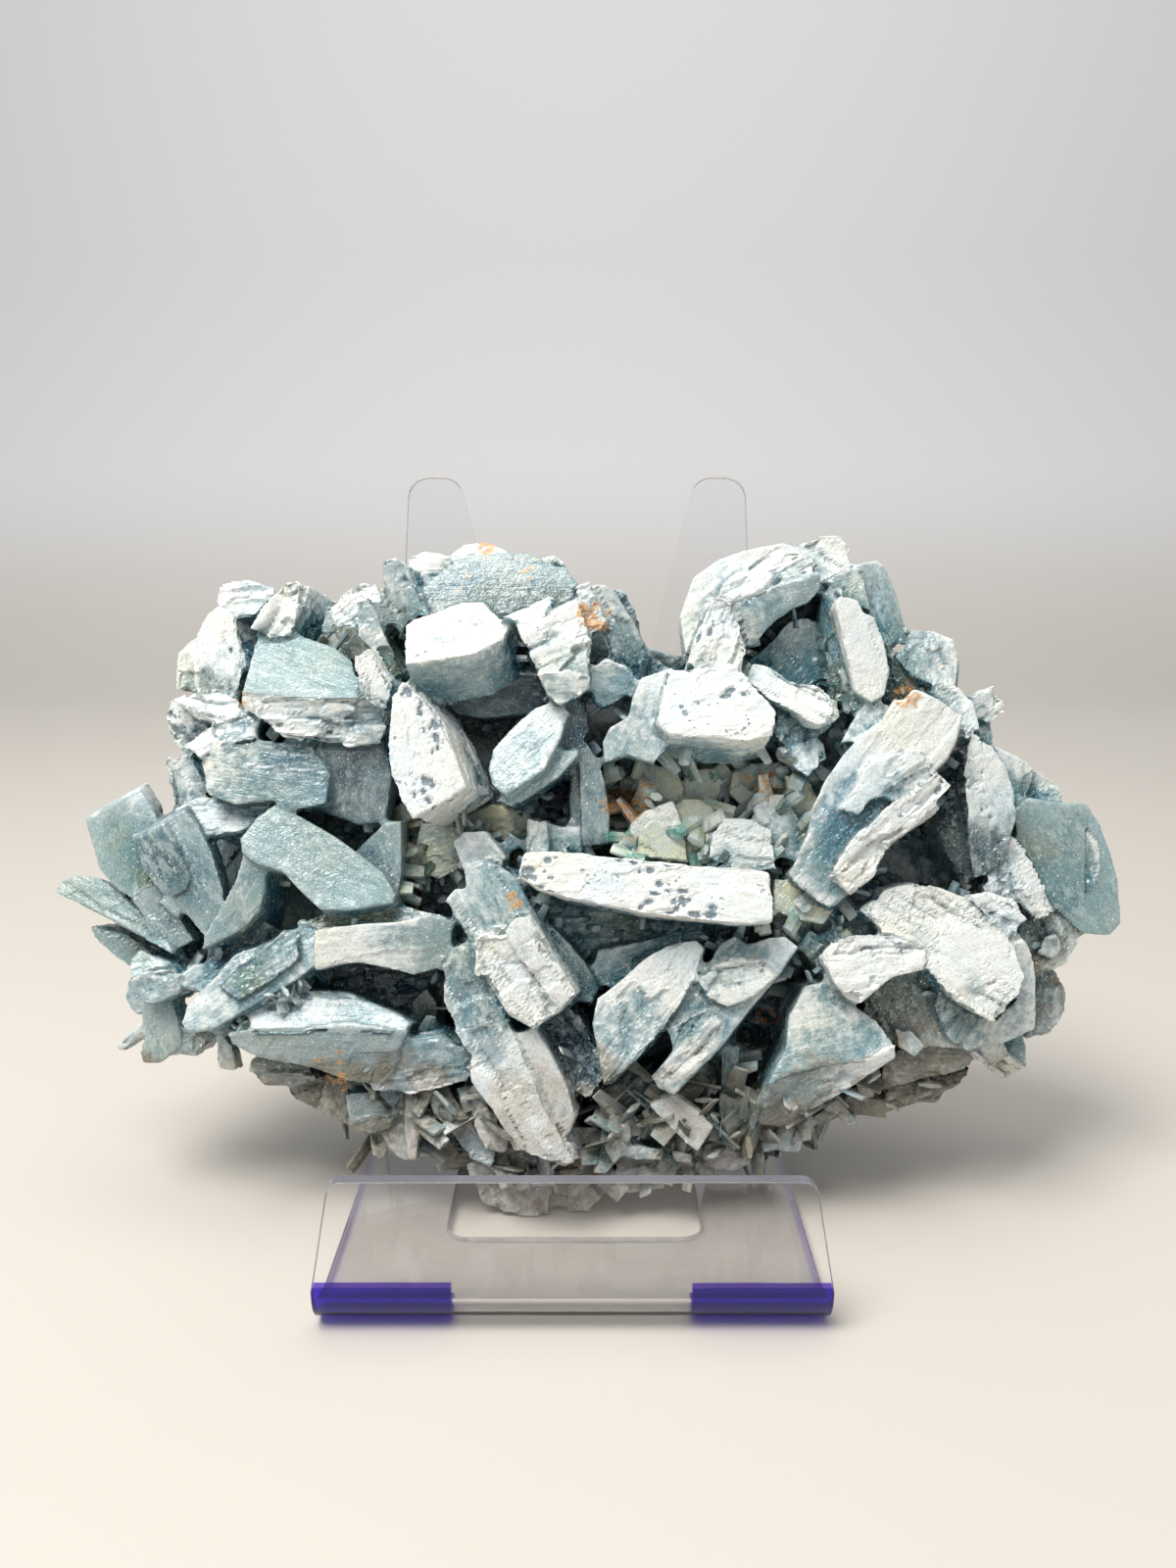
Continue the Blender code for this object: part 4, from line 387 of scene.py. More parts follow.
# Free space around each point, from cells marked as outside or inside the solid and then blurred
CELL = 3 * MM
MARGIN_CELLS = 8
BLURS = 5
INSIDE_REACH = 20 * MM
grid_low = sharp.min(0) - MARGIN_CELLS * CELL
counts = np.ceil((sharp.max(0) - grid_low) / CELL).astype(int) + MARGIN_CELLS
ways = np.meshgrid(*(np.arange(n) * CELL + low for n, low in zip(counts, grid_low)), indexing="ij")
free = np.ones(ways[0].size)
for i, cell in enumerate(np.stack([w.ravel() for w in ways], axis=1).tolist()):
    near, normal, index, gap = facets.find_nearest(cell, INSIDE_REACH)
    if near is not None and (Vector(cell) - near).dot(normal) < 0:
        free[i] = 0
free = free.reshape(counts)
for step in range(BLURS):
    for k in range(3):
        free = (np.roll(free, 1, k) + free + np.roll(free, -1, k)) / 3
cells = (sharp + outward * 1.5 * MM - grid_low) / CELL
base = np.floor(cells).astype(int)
airy = sum(share * free[tuple(corner.T)] for corner, share in corners_around(base, cells - base))
openness = np.clip((airy - 0.3) / 0.45, 0, 1)

# Each crystal runs from its root, where the light hardly reaches, to its free tip
lowest = np.ones(len(crystals))
highest = np.zeros(len(crystals))
np.minimum.at(lowest, owner, airy)
np.maximum.at(highest, owner, airy)
tip = (airy - lowest[owner]) / np.maximum(highest - lowest, 0.3)[owner]

# Roughness differs from crystal to crystal: etched ones are blocky and chipped, clear ones keep their
# faces. Lengths are in mm along, across and out of the crystal, and each noise has a seed of its own.
SLAB = (10, 4.0, 2.6)
SLAB_BEND = (1.2, 0.5, 0)
BLOCK = (4.0, 1.9, 1.4)
BLOCK_BEND = (0.8, 0.6, 0)
SLIVER = (12, 1.0, 0.8)
SLIVER_BEND = (0, 1, 1)
rough = 0.12 + 0.9 * etched + 0.65 * cover + chance.uniform(-0.08, 0.08, len(crystals))
rough = np.clip(rough, 0.15, 1)[owner]
wander = soft_noise(local / (5, 3, 3), 21)[:, None] - 0.5
patches = soft_noise(local / (13, 8, 8), 22)
chips = smooth_between(0.5, 0.75, soft_noise(local / (3.2, 2.4, 2.4), 23)) * (0.1 + 0.75 * rough)
surface = sharp + (worn - sharp) * chips[:, None]


def cleaved(size, bend):
    """Blocks between wandering cleavages: which one a point is in, and how far in mm from its sides."""
    spans = local / size + wander * bend + (0, 0, 0.5)
    gaps = (0.5 - np.abs(spans - np.floor(spans) - 0.5)) * size
    return np.floor(spans), gaps.min(axis=1)


slabs, slab_edge = cleaved(SLAB, SLAB_BEND)
blocks, block_edge = cleaved(BLOCK, BLOCK_BEND)
slivers = np.floor(local / SLIVER + wander * SLIVER_BEND)

# How broken the surface is: in patches, and more at the back, in hollows and toward a crystal's root
whole_face = unbroken[owner]
broken = smooth_between(0.28, 0.45, patches + 0.12 * (rough - 0.5)) * (0.12 + 0.88 * rough)
broken *= np.where(whole_face, 0.15, 0.6)
broken = np.maximum(broken, 0.55 * shows_back[owner] * smooth_between(0.3, 0.6, patches))
broken = np.maximum(broken, np.where(whole_face, 0.15, 0.45) * smooth_between(0.5, 0.25, openness))
broken = np.maximum(broken, 0.3 * smooth_between(0.45, 0.2, tip))

# Slabs, blocks and slivers have come off to a depth in mm, and pits and cracks go deeper
depth = 2.2 * broken * smooth_between(0.55, 0.9, cell_chance(slabs, 28))
depth += 1.1 * broken * cell_chance(blocks, 24) ** 2
depth += 0.22 * (0.15 + broken) * cell_chance(slivers, 25)
depth += 0.35 * rough * soft_noise(local / (2.4, 1.2, 1.2), 26)
pit_patches = smooth_between(0.54, 0.74, soft_noise(local / (9, 6, 6), 27))
pit_patches *= np.minimum(etched[owner] * 2.2, 1)
pits = smooth_between(0.25, 0.6, spots(local / (3.0, 1.9, 1.9) + wander * 0.8, 31) * pit_patches)
depth += 0.6 * pits
split = soft_noise(local / (7, 3, 3), 29)
cracks = np.maximum(1 - slab_edge / 1.1, 0) * smooth_between(0.4, 0.6, split)
cracks = np.maximum(cracks, np.maximum(1 - block_edge / 0.9, 0) * smooth_between(0.55, 0.75, split) * 0.9)
cracks *= smooth_between(0.15, 0.5, broken)
depth += 0.7 * smooth_between(0.3, 0.9, cracks)
surface -= outward * depth[:, None] * MM

# Edges and points that stand out are paler, as painted light. The white coat lies thicker on one side of a
# crystal and is gone where a piece has come off; its amount is also raised where the crystal is free, at its
# tip and on top, as painted light, and lowered in hollows and at roots, as painted shade.
relief = np.einsum("ni,ni->n", sharp - worn, outward) / MM
rim = smooth_between(0.35, 1.7, np.einsum("ni,ni->n", sharp - rounded, outward) / MM)
seen = place[:, :2] - seen_centres[owner][:, :2]
slope = np.einsum("ni,ni->n", seen, toward[owner]) / (0.25 * sizes[owner] / MM)
own_cover = cover[owner]
coat = own_cover + 0.35 * (0.3 + own_cover) * np.clip(slope, -1.2, 1.2)
# Painted light and shade: whiter where the crystal is free and toward its tip, bluer in hollows and at its
# root
coat += 0.6 * (openness - 0.55) * (0.25 + own_cover) + 0.6 * (tip - 0.55) * (0.25 + own_cover)
# Painted light from above: faces turned up are whiter
coat += 0.22 * outward @ np.array(PLANE_UP) - 0.12 * np.minimum(depth, 2)

# Brown earth and painted shade darken the underside and the back, and iron only stains what faces the front
EARTH_SHADE_BELOW = (50, 74)
EARTH_SHADE_BEHIND = (26, 44)
STAINED_DEPTH = -16
below = smooth_between(*EARTH_SHADE_BELOW, -place[:, 1] + 14 * (soft_noise(place / 11, 41) - 0.5))
behind = smooth_between(*EARTH_SHADE_BEHIND, -place[:, 2] + 12 * (soft_noise(place / 9, 42) - 0.5))
earth = np.maximum(below, behind) * (0.35 + 0.65 * soft_noise(place / 6, 43))
iron = np.zeros(len(sharp))
for u, v, reach, strength in IRON_STAINS:
    stain = strength * smooth_between(reach, reach * 0.3, np.hypot(place[:, 0] - u, place[:, 1] - v))
    iron = np.maximum(iron, stain * (place[:, 2] > STAINED_DEPTH))

mesh = whole.data
mesh.vertices.foreach_set("co", surface.astype(np.float32).ravel())
# Painted shade: each body darkens toward its root and in hollows; the material reads the rest as open
shade = (1 - 0.35 * openness - 0.65 * tip) * darkening[owner]
keep_at_points(mesh, local=local, body=body_colour[owner], coat=coat, etched=etched[owner], pits=pits,
               cracks=cracks, relief=relief, rim=rim, open=1 - shade, iron=iron, earth=earth)
mesh.update()


class Level:
    """An output of a material's node, for writing the material's maths as expressions."""

    def __init__(self, surface, socket):
        self.surface = surface
        self.socket = socket

    def maths(self, operation, *values):
        return self.surface.node("ShaderNodeMath", {"operation": operation}, dict(enumerate(values)))

    def __add__(self, other):
        return self.maths("ADD", self, other)

    def __radd__(self, other):
        return self.maths("ADD", other, self)

    def __sub__(self, other):
        return self.maths("SUBTRACT", self, other)

    def __rsub__(self, other):
        return self.maths("SUBTRACT", other, self)

    def __mul__(self, other):
        return self.maths("MULTIPLY", self, other)

    def __rmul__(self, other):
        return self.maths("MULTIPLY", other, self)

    def unsigned(self):
        return self.maths("ABSOLUTE", self)

    def most(self, other):
        return self.maths("MAXIMUM", self, other)

    def between(self, low, high):
        """0 up to low and 1 from high on, with a soft change between them."""
        return self.surface.node("ShaderNodeMapRange", {"interpolation_type": "SMOOTHSTEP"},
                                 {"Value": self, "From Min": low, "From Max": high})


class Surface:
    """A material as it is written: each node is given by its type, its settings and its sockets' values."""

    def __init__(self, name):
        self.material = bpy.data.materials.new(name)
        self.material.use_nodes = True
        self.tree = self.material.node_tree
        self.tree.nodes.clear()

    def node(self, kind, settings, sockets, output=0):
        node = self.tree.nodes.new(kind)
        for name, value in settings.items():
            setattr(node, name, value)
        for name, value in sockets.items():
            if isinstance(value, Level):
                self.tree.links.new(value.socket, node.inputs[name])
            else:
                node.inputs[name].default_value = value
        return Level(self, node.outputs[output]) if node.outputs else None

    def mix(self, how, share, first, second):
        """Two colours mixed by their sockets' numbers: 0 is the share, 6 and 7 are the colours."""
        first, second = (c if isinstance(c, Level) else (*c, 1) for c in (first, second))
        settings = {"data_type": "RGBA", "blend_type": how}
        return self.node("ShaderNodeMix", settings, {0: share, 6: first, 7: second}, 2)

    def blend(self, share, first, second):
        """A colour between two colours."""
        return self.mix("MIX", share, first, second)

    def product(self, first, second):
        """One colour tinted by another."""
        return self.mix("MULTIPLY", 1.0, first, second)

    def scaled(self, vector, factors):
        """A vector with each part multiplied by its own factor."""
        return self.node("ShaderNodeVectorMath", {"operation": "MULTIPLY"}, {0: vector, 1: factors})

    def noise(self, vector, scale, detail=2.0, output="Fac"):
        """Noise from 0 to 1, or as a colour one that differs in its three parts, for bending a pattern."""
        sockets = {"Vector": vector, "Scale": scale, "Detail": detail}
        return self.node("ShaderNodeTexNoise", {}, sockets, output)

    def cells(self, vector, output="Distance", **settings):
        """How far a point is from its cell's middle, or a chance colour for its cell."""
        return self.node("ShaderNodeTexVoronoi", settings, {"Vector": vector, "Scale": 1.0}, output)

    def attribute(self, name, output="Fac"):
        return self.node("ShaderNodeAttribute", {"attribute_name": name}, {}, output)

    def finish(self, **sockets):
        """The material itself, once its shader has its sockets' values."""
        sockets = {name.replace("_", " "): value for name, value in sockets.items()}
        shader = self.node("ShaderNodeBsdfPrincipled", {}, sockets)
        self.node("ShaderNodeOutputMaterial", {}, {"Surface": shader})
        return self.material


def barite():
    """Milky blue barite with painted shade in its hollows, a white etched coat, pits, cracks and iron stains.
    """
    s = Surface("barite")
    local = s.attribute("local", "Vector")
    coat, relief, rim, etched, free, iron, earth = (
        s.attribute(name) for name in ("coat", "relief", "rim", "etched", "open", "iron", "earth"))

    cloud = s.noise(local, 0.13, 3.0)
    mottle = s.noise(local, 0.55, 3.0)
    streaks = s.noise(s.scaled(local, (0.14, 1.3, 1.3)), 1.0, 3.0)
    grain = s.noise(s.scaled(local, (1.8, 2.6, 2.6)), 1.0, 3.0)
    tinge = s.noise(local, 0.06, 2.0)

    # The clear body: deep teal or olive as painted shade where light hardly gets in, and veiled and paler as
    # painted light where it is free and on its rims
    body = s.attribute("body", "Color")
    deep_shade = (1.35 - free * 1.35 + (cloud - 0.5) * 0.9 + (mottle - 0.5) * 0.3 - relief * 0.3).between(0.1, 0.85)
    teal = s.product(body, (0.12, 0.42, 0.52))
    olive = s.product(body, (0.42, 0.43, 0.30))
    colour = s.blend(deep_shade, body, s.blend(tinge.between(0.5, 0.65), teal, olive))
    veil_and_painted_light = free * 0.9 + (cloud - 0.5) * 0.9 + (streaks - 0.5) * 0.25 + (mottle - 0.5) * 0.5 + relief * 0.4
    colour = s.blend(veil_and_painted_light.between(0.35, 1.05) * 0.65, colour, (0.43, 0.53, 0.525))
    colour = s.blend((rim + (mottle - 0.5) * 0.5).between(0.1, 0.9) * 0.75, colour, (0.54, 0.645, 0.645))

    # The white coat, blue-grey where it is thin; its amount also carries painted light and painted shade
    coated = coat + (cloud - 0.5) * 1.2 + (mottle - 0.5) * 0.9 + (streaks - 0.5) * 0.3 + relief * 0.3 - 0.06
    snow = coated.between(0.46, 0.98)
    white = s.blend(grain.between(0.3, 0.7), (0.64, 0.69, 0.68), (0.85, 0.85, 0.82))
    colour = s.blend(coated.between(0.25, 0.72) * 0.8, colour, (0.40, 0.485, 0.51))
    colour = s.blend(snow, colour, white)

    # Small angular pits in clumps, and dark cracks
    wavy = s.node("ShaderNodeVectorMath", {"operation": "MULTIPLY_ADD"},
                  {0: s.noise(local, 0.6, output="Color"), 1: (1.6, 1.6, 1.6), 2: local})
    pit_middle = s.cells(s.scaled(wavy, (0.6, 0.95, 0.95)), distance="CHEBYCHEV")
    pit_size = (etched * 0.7 + s.noise(local, 0.22) * 3.0 - 1.75).between(0.0, 1.0) * 0.42
    small_pits = (pit_size - pit_middle + (grain - 0.5) * 0.5).between(0.0, 0.08) * etched.between(0.02, 0.12)
    large_pits = (s.attribute("pits") + (grain - 0.5) * 0.9 + (mottle - 0.5) * 0.5).between(0.45, 0.65)
    pits = small_pits.most(large_pits) * coated.between(0.2, 0.5)
    colour = s.blend(pits * 0.88, colour, (0.10, 0.155, 0.205))
    crack = (s.attribute("cracks") + (grain - 0.5) * 0.7 + (mottle - 0.5) * 0.6).between(0.68, 1.0)
    colour = s.blend(crack * 0.7, colour, s.product(colour, (0.22, 0.32, 0.38)))

    # White flecks, light and dark cleavage scales where there is no coat, and points and edges that stand out
    # painted paler, as painted light
    fleck = (0.15 - s.cells(local) + (mottle - 0.5) * 0.7).between(0.0, 0.07)
    colour = s.blend(fleck * 0.85, colour, (0.78, 0.84, 0.83))
    scale = s.cells(s.scaled(wavy, (0.42, 1.1, 1.1)), "Color")
    scaly = s.noise(local, 0.09).between(0.42, 0.6) * (1 - snow)
    colour = s.blend(scale.between(0.5, 0.75) * scaly * 0.42, colour, (0.50, 0.58, 0.57))
    dark_scale = (1 - scale).between(0.5, 0.75) * scaly
    colour = s.blend(dark_scale * 0.45, colour, s.product(colour, (0.42, 0.56, 0.62)))
    # Painted light: edges and points that stand out are paler
    colour = s.blend((relief + (grain - 0.5) * 0.3).between(0.12, 0.45) * 0.45, colour, (0.66, 0.72, 0.72))

    # A warmer and a cooler cast from place to place, and light and dark grain
    colour = s.blend(tinge.between(0.5, 0.72) * 0.6, colour, s.product(colour, (1.03, 0.98, 0.86)))
    colour = s.blend((1 - tinge).between(0.5, 0.72) * 0.6, colour, s.product(colour, (0.80, 0.95, 1.06)))
    colour = s.blend((grain - relief * 0.2).between(0.5, 0.72) * 0.3, colour, (0.80, 0.84, 0.80))
    dark_grain = (1 - grain - snow * 0.05).between(0.5, 0.70)
    colour = s.blend(dark_grain * 0.5, colour, s.product(colour, (0.55, 0.66, 0.68)))

    # Painted shade in fine hollows, brown earth with painted shade on the underside and the back, and rust
    # that runs from dark to orange
    hollow = (0 - relief + (grain - 0.5) * 0.25).between(0.08, 0.5)
    colour = s.blend(hollow * 0.6, colour, s.product(colour, (0.18, 0.30, 0.28)))
    dust_and_shade = (earth * 1.1 + (cloud - 0.5) * 2.2).between(0.2, 0.9) * earth.between(0.1, 0.3)
    dust_and_shade = dust_and_shade * (0.9 - snow * 0.45)
    colour = s.blend(dust_and_shade, colour, s.product(colour, (0.50, 0.37, 0.26)))
    rust = s.blend(grain.between(0.35, 0.65), (0.42, 0.14, 0.03), (0.75, 0.42, 0.12))
    rusty = (iron * 0.8 + (mottle - 0.5) * 2.2 + (grain - 0.5) * 0.8).between(0.48, 0.9)
    colour = s.blend(rusty * 0.85, colour, rust)

    height = grain * 0.35 + mottle * 0.5 + streaks * 0.4
    bump = s.node("ShaderNodeBump", {}, {"Strength": 0.6, "Distance": 0.6 * MM, "Height": height})
    return s.finish(Base_Color=colour, Roughness=0.18 + snow * 0.34 + hollow * 0.2, Normal=bump, IOR=1.64)


barite_material = barite()

# The cluster is kept in pieces from left to right, of whole crystals and with about as many points in each
PIECE_NAMES = ("crystals_left_end", "crystals_left", "crystals_left_middle", "crystals_middle",
               "crystals_right_middle", "crystals_right", "crystals_right_end")
crystal_points = np.bincount(owner, minlength=len(crystals))
order = np.argsort(seen_centres[:, 0])
piece_of = np.zeros(len(crystals), np.int32)
shares = np.cumsum(crystal_points[order]) * len(PIECE_NAMES) // len(owner)
piece_of[order] = np.minimum(shares, len(PIECE_NAMES) - 1)
corner_points = np.empty(len(mesh.loops), np.int32)
mesh.loops.foreach_get("vertex_index", corner_points)
first_corners = np.empty(len(mesh.polygons), np.int32)
mesh.polygons.foreach_get("loop_start", first_corners)
piece_of_face = piece_of[owner[corner_points[first_corners]]]
for k, name in enumerate(PIECE_NAMES):
    part = bmesh.new()
    part.from_mesh(mesh)
    part.faces.ensure_lookup_table()
    others = [part.faces[i] for i in np.nonzero(piece_of_face != k)[0].tolist()]
    bmesh.ops.delete(part, geom=others, context="FACES")
    piece_mesh = bpy.data.meshes.new(name)
    part.to_mesh(piece_mesh)
    part.free()
    piece_mesh.materials.clear()
    piece_mesh.materials.append(barite_material)
    piece = add_object(name, piece_mesh)
    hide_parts("barite_cluster")
    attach(piece, "root")
bpy.data.objects.remove(whole)
solid.free()

# Small crystals
# Little clear tablets that fill the hollows between the large ones, a yellowish druse in the middle recess,
# and thin pale blades along the lower crust. Each is a flattened six-sided prism rooted in the cluster.

# Each row is a region of the drawing plane: its range in mm right and up, how many crystals it gets, the
# ranges of their length and width in mm, how flat they are, the bodies they may have, their white cover,
# and the range of openness of the places they grow from. A range that reaches 1 is for the back.
DRUSES = (
    ((3, 52), (-20, 8), 130, (4.0, 9.0), (3.0, 6.0), 0.5, ("yellow", "yellow", "grey"), 0.4, (0.0, 0.75)),
    ((-44, -24), (-30, -4), 50, (4.0, 8.0), (3.0, 5.5), 0.5, ("yellow", "tan"), 0.3, (0.0, 0.7)),
    ((38, 60), (-36, -18), 40, (3.0, 7.0), (2.5, 4.5), 0.5, ("yellow", "tan"), 0.2, (0.0, 0.7)),
    ((-60, 60), (-45, 30), 160, (2.5, 6.5), (2.0, 4.5), 0.5, ("blue", "teal", "green"), 0.15, (0.0, 0.42)),
    ((-110, 110), (-60, 50), 160, (2.5, 6.5), (2.0, 4.5), 0.5, ("teal", "blue"), 0.2, (0.0, 0.42)),
    ((-100, 95), (-98, -62), 170, (6.0, 15.0), (3.0, 7.0), 0.25, ("tan", "grey", "tan"), 0.35, (0.1, 0.9)),
    ((-60, 60), (-98, -70), 110, (6.0, 14.0), (3.0, 7.0), 0.25, ("tan", "grey", "blue"), 0.45, (0.1, 0.9)),
    ((-112, -66), (-66, -42), 60, (5.0, 11.0), (2.5, 5.5), 0.3, ("blue", "grey"), 0.4, (0.1, 0.8)),
    ((-90, 90), (-75, 40), 260, (5.0, 14.0), (4.0, 9.0), 0.22, ("grey", "tan", "teal"), 0.3, (0.0, 1.0)),
)
# Elsewhere than on the back, on the lower crust and in the yellowish druse they grow only in hollows
HOLLOW = 0.42
CRUST_BELOW = -68
# How far a place is turned to the front: above the first value, but on the back below the second
FACING_FRONT = -0.1
FACING_BACK = -0.3
SIDES = 6
SIZE_MARGIN = 1 * MM
# No small crystal goes through the easel: all of them stay before its panel and above its base
PANEL_LEAN = math.radians(15)
PANEL_FROM = 100 * MM
BASE_TOP = 4 * MM
panel_out = Vector((0, -math.cos(PANEL_LEAN), math.sin(PANEL_LEAN)))
easel_points = [v.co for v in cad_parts["display_stand"].data.vertices]
panel_face = max(point.dot(panel_out) for point in easel_points if point.z > PANEL_FROM)
facing = outward @ np.array(PLANE_FRONT)
on_crust = seen_centres[owner][:, 1] < CRUST_BELOW
small = bmesh.new()
rows = []
for u_range, v_range, number, lengths, widths, flatness, bodies, covered, air in DRUSES:
    fits = (place[:, 0] > u_range[0]) & (place[:, 0] < u_range[1]) & (place[:, 1] > v_range[0])
    fits &= (place[:, 1] < v_range[1]) & (openness >= air[0]) & (openness <= air[1])
    fits &= (facing > FACING_FRONT) if air[1] < 1 else (facing < FACING_BACK)
    fits &= (openness < HOLLOW) | shows_back[owner] | on_crust | (bodies[0] == "yellow")
    places_to_grow = np.nonzero(fits)[0]
    for root in chance.choice(places_to_grow, min(number, len(places_to_grow)), replace=False):
        length = chance.uniform(*lengths) * MM
        width = chance.uniform(*widths) * MM
        aim = Vector(outward[root]) + Vector(chance.normal(0, 0.4, 3))
        turn = aim.to_track_quat("Z", "Y").to_matrix().to_4x4()
        turn = turn @ Matrix.Rotation(chance.uniform(0, math.tau), 4, "Z")
        middle = Vector(surface[root]) + aim.normalized() * length * chance.uniform(0.0, 0.22)
        flat = Matrix.Diagonal((1, flatness * chance.uniform(0.7, 1.4), 1, 1))
        end = middle + aim.normalized() * length / 2
        if not all(lo + SIZE_MARGIN < c < hi - SIZE_MARGIN for lo, c, hi in zip(cad_low, end, cad_high)):
            continue
        made = bmesh.ops.create_cone(small, cap_ends=True, segments=SIDES, radius1=width / 2,
                                     radius2=width / 2 * chance.uniform(0.45, 0.95), depth=length,
                                     matrix=Matrix.Translation(middle) @ turn @ flat)["verts"]
        tint = np.array(BODY_COLOURS[bodies[chance.integers(len(bodies))]]) * chance.uniform(0.85, 1.15)
        whiteness = covered + chance.uniform(-0.35, 0.35)
        if min(v.co.dot(panel_out) for v in made) < panel_face or min(v.co.z for v in made) < BASE_TOP:
            bmesh.ops.delete(small, geom=made, context="VERTS")
            continue
        for vert in made:
            rows.append((root, (vert.co - middle).dot(aim.normalized()) / length + 0.5, whiteness, *tint))
rows = np.array(rows)
roots, along, whiteness = rows[:, 0].astype(int), rows[:, 1], rows[:, 2]
nothing = np.zeros(len(roots))
small_mesh = bpy.data.meshes.new("small_crystals")
small.to_mesh(small_mesh)
small.free()
# Each small crystal is painted paler toward its tip, as painted light, and darker toward its root, as painted
# shade
keep_at_points(small_mesh, local=at_points(small_mesh) / MM + offset[owner[roots]], body=rows[:, 3:],
               coat=whiteness, etched=nothing, pits=nothing, cracks=nothing, relief=0.25 * along - 0.05,
               rim=0.6 * along, open=np.clip(openness[roots] * 0.3 + 0.7 * along, 0, 1),
               iron=iron[roots], earth=earth[roots])
small_mesh.materials.append(barite_material)
small_crystals = add_object("small_crystals", small_mesh)
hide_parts("barite_cluster")
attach(small_crystals, "root")

# Display easel
# A clear acrylic sheet, cut out flat and bent hot at the lip and the heel. Its cut edges are polished and
# gather the light, violet at both ends of the front bend.
EDGE_ROUNDING = 0.6 * MM
NEARLY_FLAT = math.radians(1)
CUT_EDGE = math.radians(50)
ACRYLIC_IOR = 1.49
# The violet reaches this high and this far back from the bend, and leaves the middle of the bend clear
VIOLET_TOP = 10.3 * MM
VIOLET_BACK = -7.2 * MM
VIOLET_INNER = 23.8 * MM
# The cut sides are tinted from here outward
SIDE_FROM = 48.8 * MM


def acrylic_edge():
    """The satin of a sawn and flamed edge, with the violet that it gathers."""
    s = Surface("acrylic_edge")
    return s.finish(Base_Color=(0.82, 0.80, 0.95, 1), Roughness=0.2, IOR=ACRYLIC_IOR, Transmission_Weight=0.8)


def clear_acrylic():
    """Clear sheet whose front bend gathers violet light."""
    s = Surface("clear_acrylic")
    spot = s.node("ShaderNodeTexCoord", {}, {}, "Object")
    x, y, height = (s.node("ShaderNodeSeparateXYZ", {}, {0: spot}, axis) for axis in "XYZ")
    across = x.unsigned()
    cloud = s.noise(spot, 60.0)
    low = 1 - (height + cloud * (0.6 * MM)).between(VIOLET_TOP, VIOLET_TOP + 0.3 * MM)
    front = 1 - y.between(VIOLET_BACK, VIOLET_BACK + 0.4 * MM)
    bend = low * front * (across + cloud * (1.2 * MM)).between(VIOLET_INNER, VIOLET_INNER + 0.4 * MM)
    sides = across.between(SIDE_FROM, SIDE_FROM + 0.6 * MM) * low
    colour = s.blend(sides * 0.6, (0.985, 0.985, 0.99), (0.55, 0.50, 0.92))
    colour = s.blend(bend, colour, (0.035, 0.008, 0.6))
    return s.finish(Base_Color=colour, Roughness=0.02, IOR=ACRYLIC_IOR, Transmission_Weight=1.0)


stand = bmesh.new()
stand.from_mesh(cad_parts["display_stand"].data)
bmesh.ops.remove_doubles(stand, verts=stand.verts, dist=SAME_POINT)
bmesh.ops.dissolve_limit(stand, angle_limit=NEARLY_FLAT, verts=stand.verts, edges=stand.edges)
cut_edges = [e for e in stand.edges if e.calc_face_angle(0) > CUT_EDGE]
bmesh.ops.bevel(stand, geom=cut_edges, offset=EDGE_ROUNDING, offset_type="OFFSET", affect="EDGES",
                segments=3, profile=0.5, material=-1, clamp_overlap=True)
# Faces that look sideways, the lip's and the prongs' tops and the heel's rear have the look of a cut edge
for face in stand.faces:
    x, y, z = (abs(part) for part in face.normal)
    middle = face.calc_center_median() / MM
    is_top = z > 0.6 and middle.z > 30
    is_heel = y > 0.6 and middle.z < 3.5 and middle.y > 0
    face.material_index = int(x > 0.05 or is_top or is_heel)
stand_mesh = bpy.data.meshes.new("easel")
stand.to_mesh(stand_mesh)
stand.free()
for polygon in stand_mesh.polygons:
    polygon.use_smooth = True
stand_mesh.materials.append(clear_acrylic())
stand_mesh.materials.append(acrylic_edge())
easel = add_object("easel", stand_mesh)
easel.modifiers.new("even_normals", "WEIGHTED_NORMAL").weight = 80
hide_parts("display_stand")
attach(easel, "root")

# Table top and wall
# A plain pale surface that turns up into a plain pale wall behind.
FLOOR_TOP = -0.3 * MM
FLOOR_FRONT = -4.0
WALL_BEND_FROM = 1.0
WALL_BEND_RADIUS = 0.5
WALL_RISE = 2.5
FLOOR_WIDTH = 6
sweep = bmesh.new()
left = -FLOOR_WIDTH / 2
front, rear = (sweep.verts.new((left, y, FLOOR_TOP)) for y in (FLOOR_FRONT, WALL_BEND_FROM))
sweep.edges.new((front, rear))
bmesh.ops.spin(sweep, geom=[rear], cent=(left, WALL_BEND_FROM, WALL_BEND_RADIUS), axis=(1, 0, 0),
               angle=math.radians(90), steps=12)
top = max(sweep.verts, key=lambda v: v.co.z)
risen = bmesh.ops.extrude_vert_indiv(sweep, verts=[top])["verts"]
bmesh.ops.translate(sweep, verts=risen, vec=(0, 0, WALL_RISE))
widened = bmesh.ops.extrude_edge_only(sweep, edges=sweep.edges[:])["geom"]
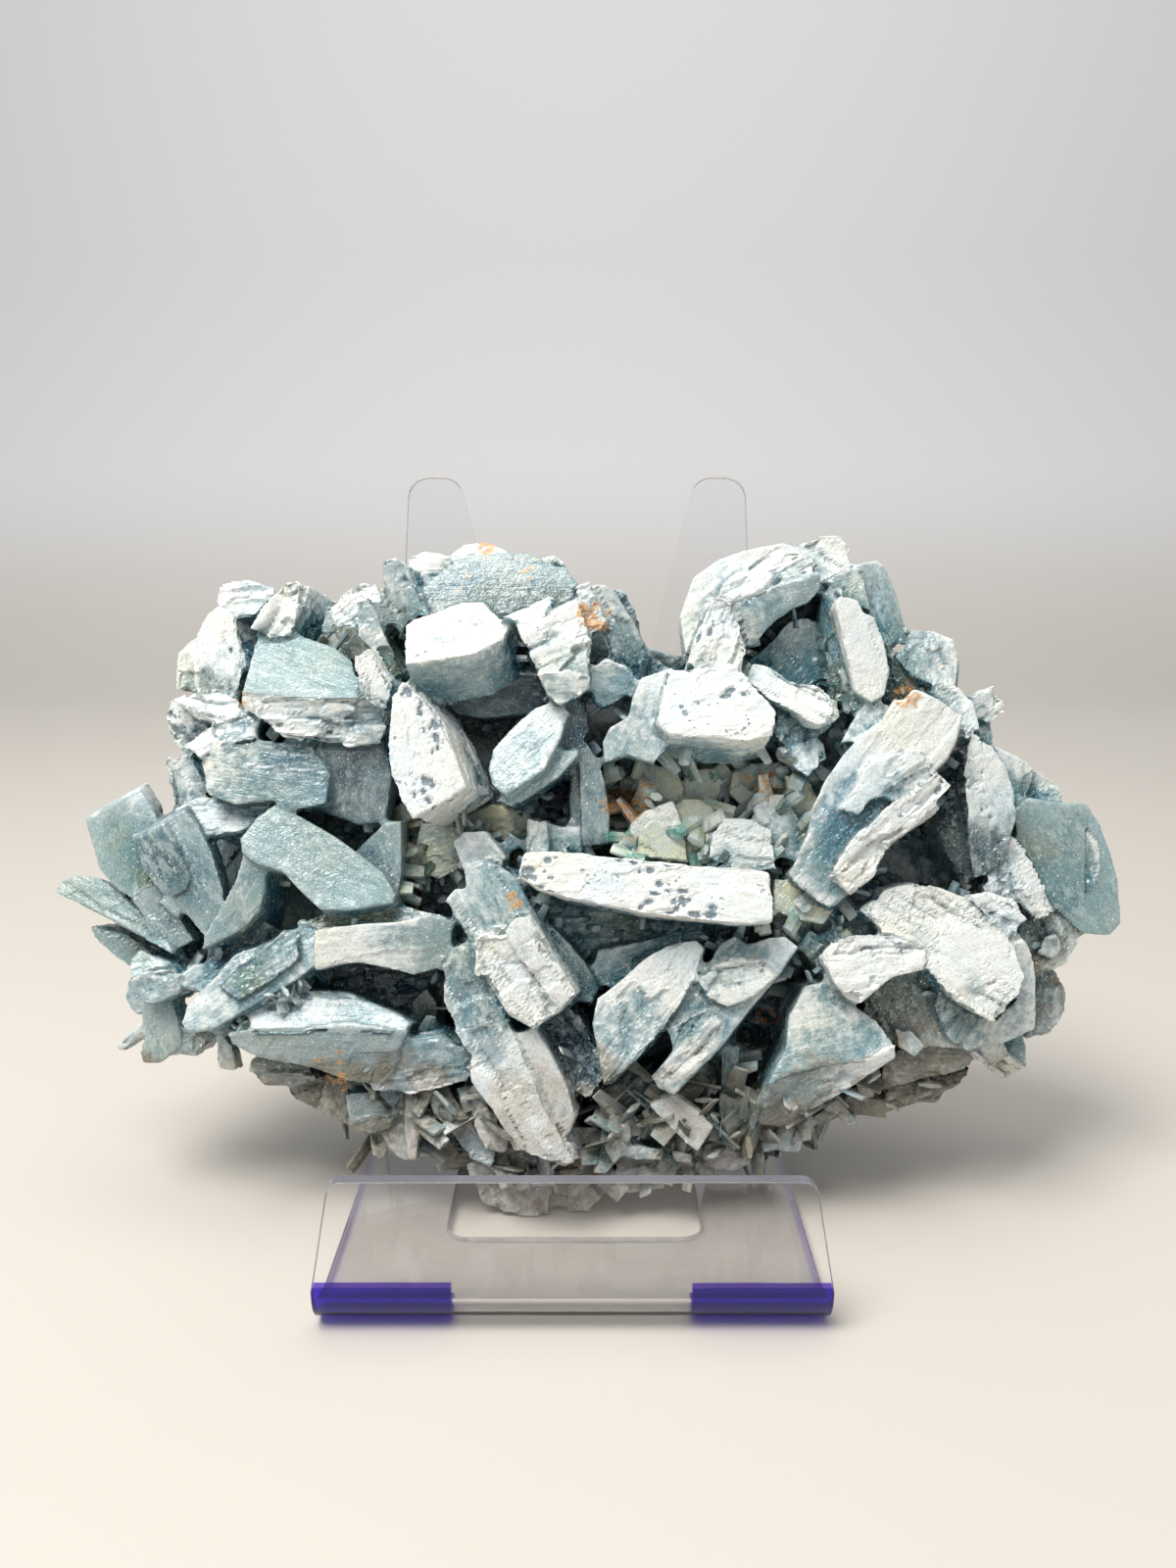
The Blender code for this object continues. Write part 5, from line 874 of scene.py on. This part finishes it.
far_side = [g for g in widened if isinstance(g, bmesh.types.BMVert)]
bmesh.ops.translate(sweep, verts=far_side, vec=(FLOOR_WIDTH, 0, 0))
bmesh.ops.recalc_face_normals(sweep, faces=sweep.faces[:])
sweep_mesh = bpy.data.meshes.new("floor")
sweep.to_mesh(sweep_mesh)
sweep.free()
for polygon in sweep_mesh.polygons:
    polygon.use_smooth = True


def pale_plaster():
    """A warm pale table top that turns into a cooler wall, both matt."""
    s = Surface("floor")
    spot = s.node("ShaderNodeTexCoord", {}, {}, "Object")
    height = s.node("ShaderNodeSeparateXYZ", {}, {0: spot}, "Z")
    table = s.blend(s.noise(spot, 6.0, 3.0), (0.60, 0.56, 0.51), (0.63, 0.59, 0.54))
    return s.finish(Base_Color=s.blend(height.between(0.0, 0.25), table, (0.77, 0.765, 0.785)), Roughness=0.7)


sweep_mesh.materials.append(pale_plaster())
floor = add_object("floor", sweep_mesh)

# Light
# A large soft window light from the upper left in front, a wider one above that brightens the wall, and a
# pale room around them.
LAMPS = (
    ("window", (-0.3, -0.35, 0.95), PLANE_CENTRE, 0.5, 11.4),
    ("wall_wash", (0, 0.3, 1.6), Vector((0, 1.4, 0.5)), 1.2, 9),
)
LAMP_COLOUR = (1.0, 0.97, 0.92)
world = bpy.data.worlds.new("room")
world.use_nodes = True
world.node_tree.nodes["Background"].inputs["Color"].default_value = (0.88, 0.93, 0.96, 1)
world.node_tree.nodes["Background"].inputs["Strength"].default_value = 0.5
bpy.context.scene.world = world
for name, at, target, size, power in LAMPS:
    lamp = bpy.data.lights.new(name, "AREA")
    lamp.size = size
    lamp.energy = power
    lamp.color = LAMP_COLOUR
    light = add_object(name, lamp)
    light.location = at
    light.rotation_euler = (target - Vector(at)).to_track_quat("-Z", "Y").to_euler()
bpy.context.scene.view_settings.view_transform = "Standard"
# The light passes through every wall of the bent sheet, and two bounces are enough on the stone
cycles = bpy.context.scene.cycles
cycles.max_bounces = cycles.transmission_bounces = 16
cycles.diffuse_bounces = cycles.glossy_bounces = 2
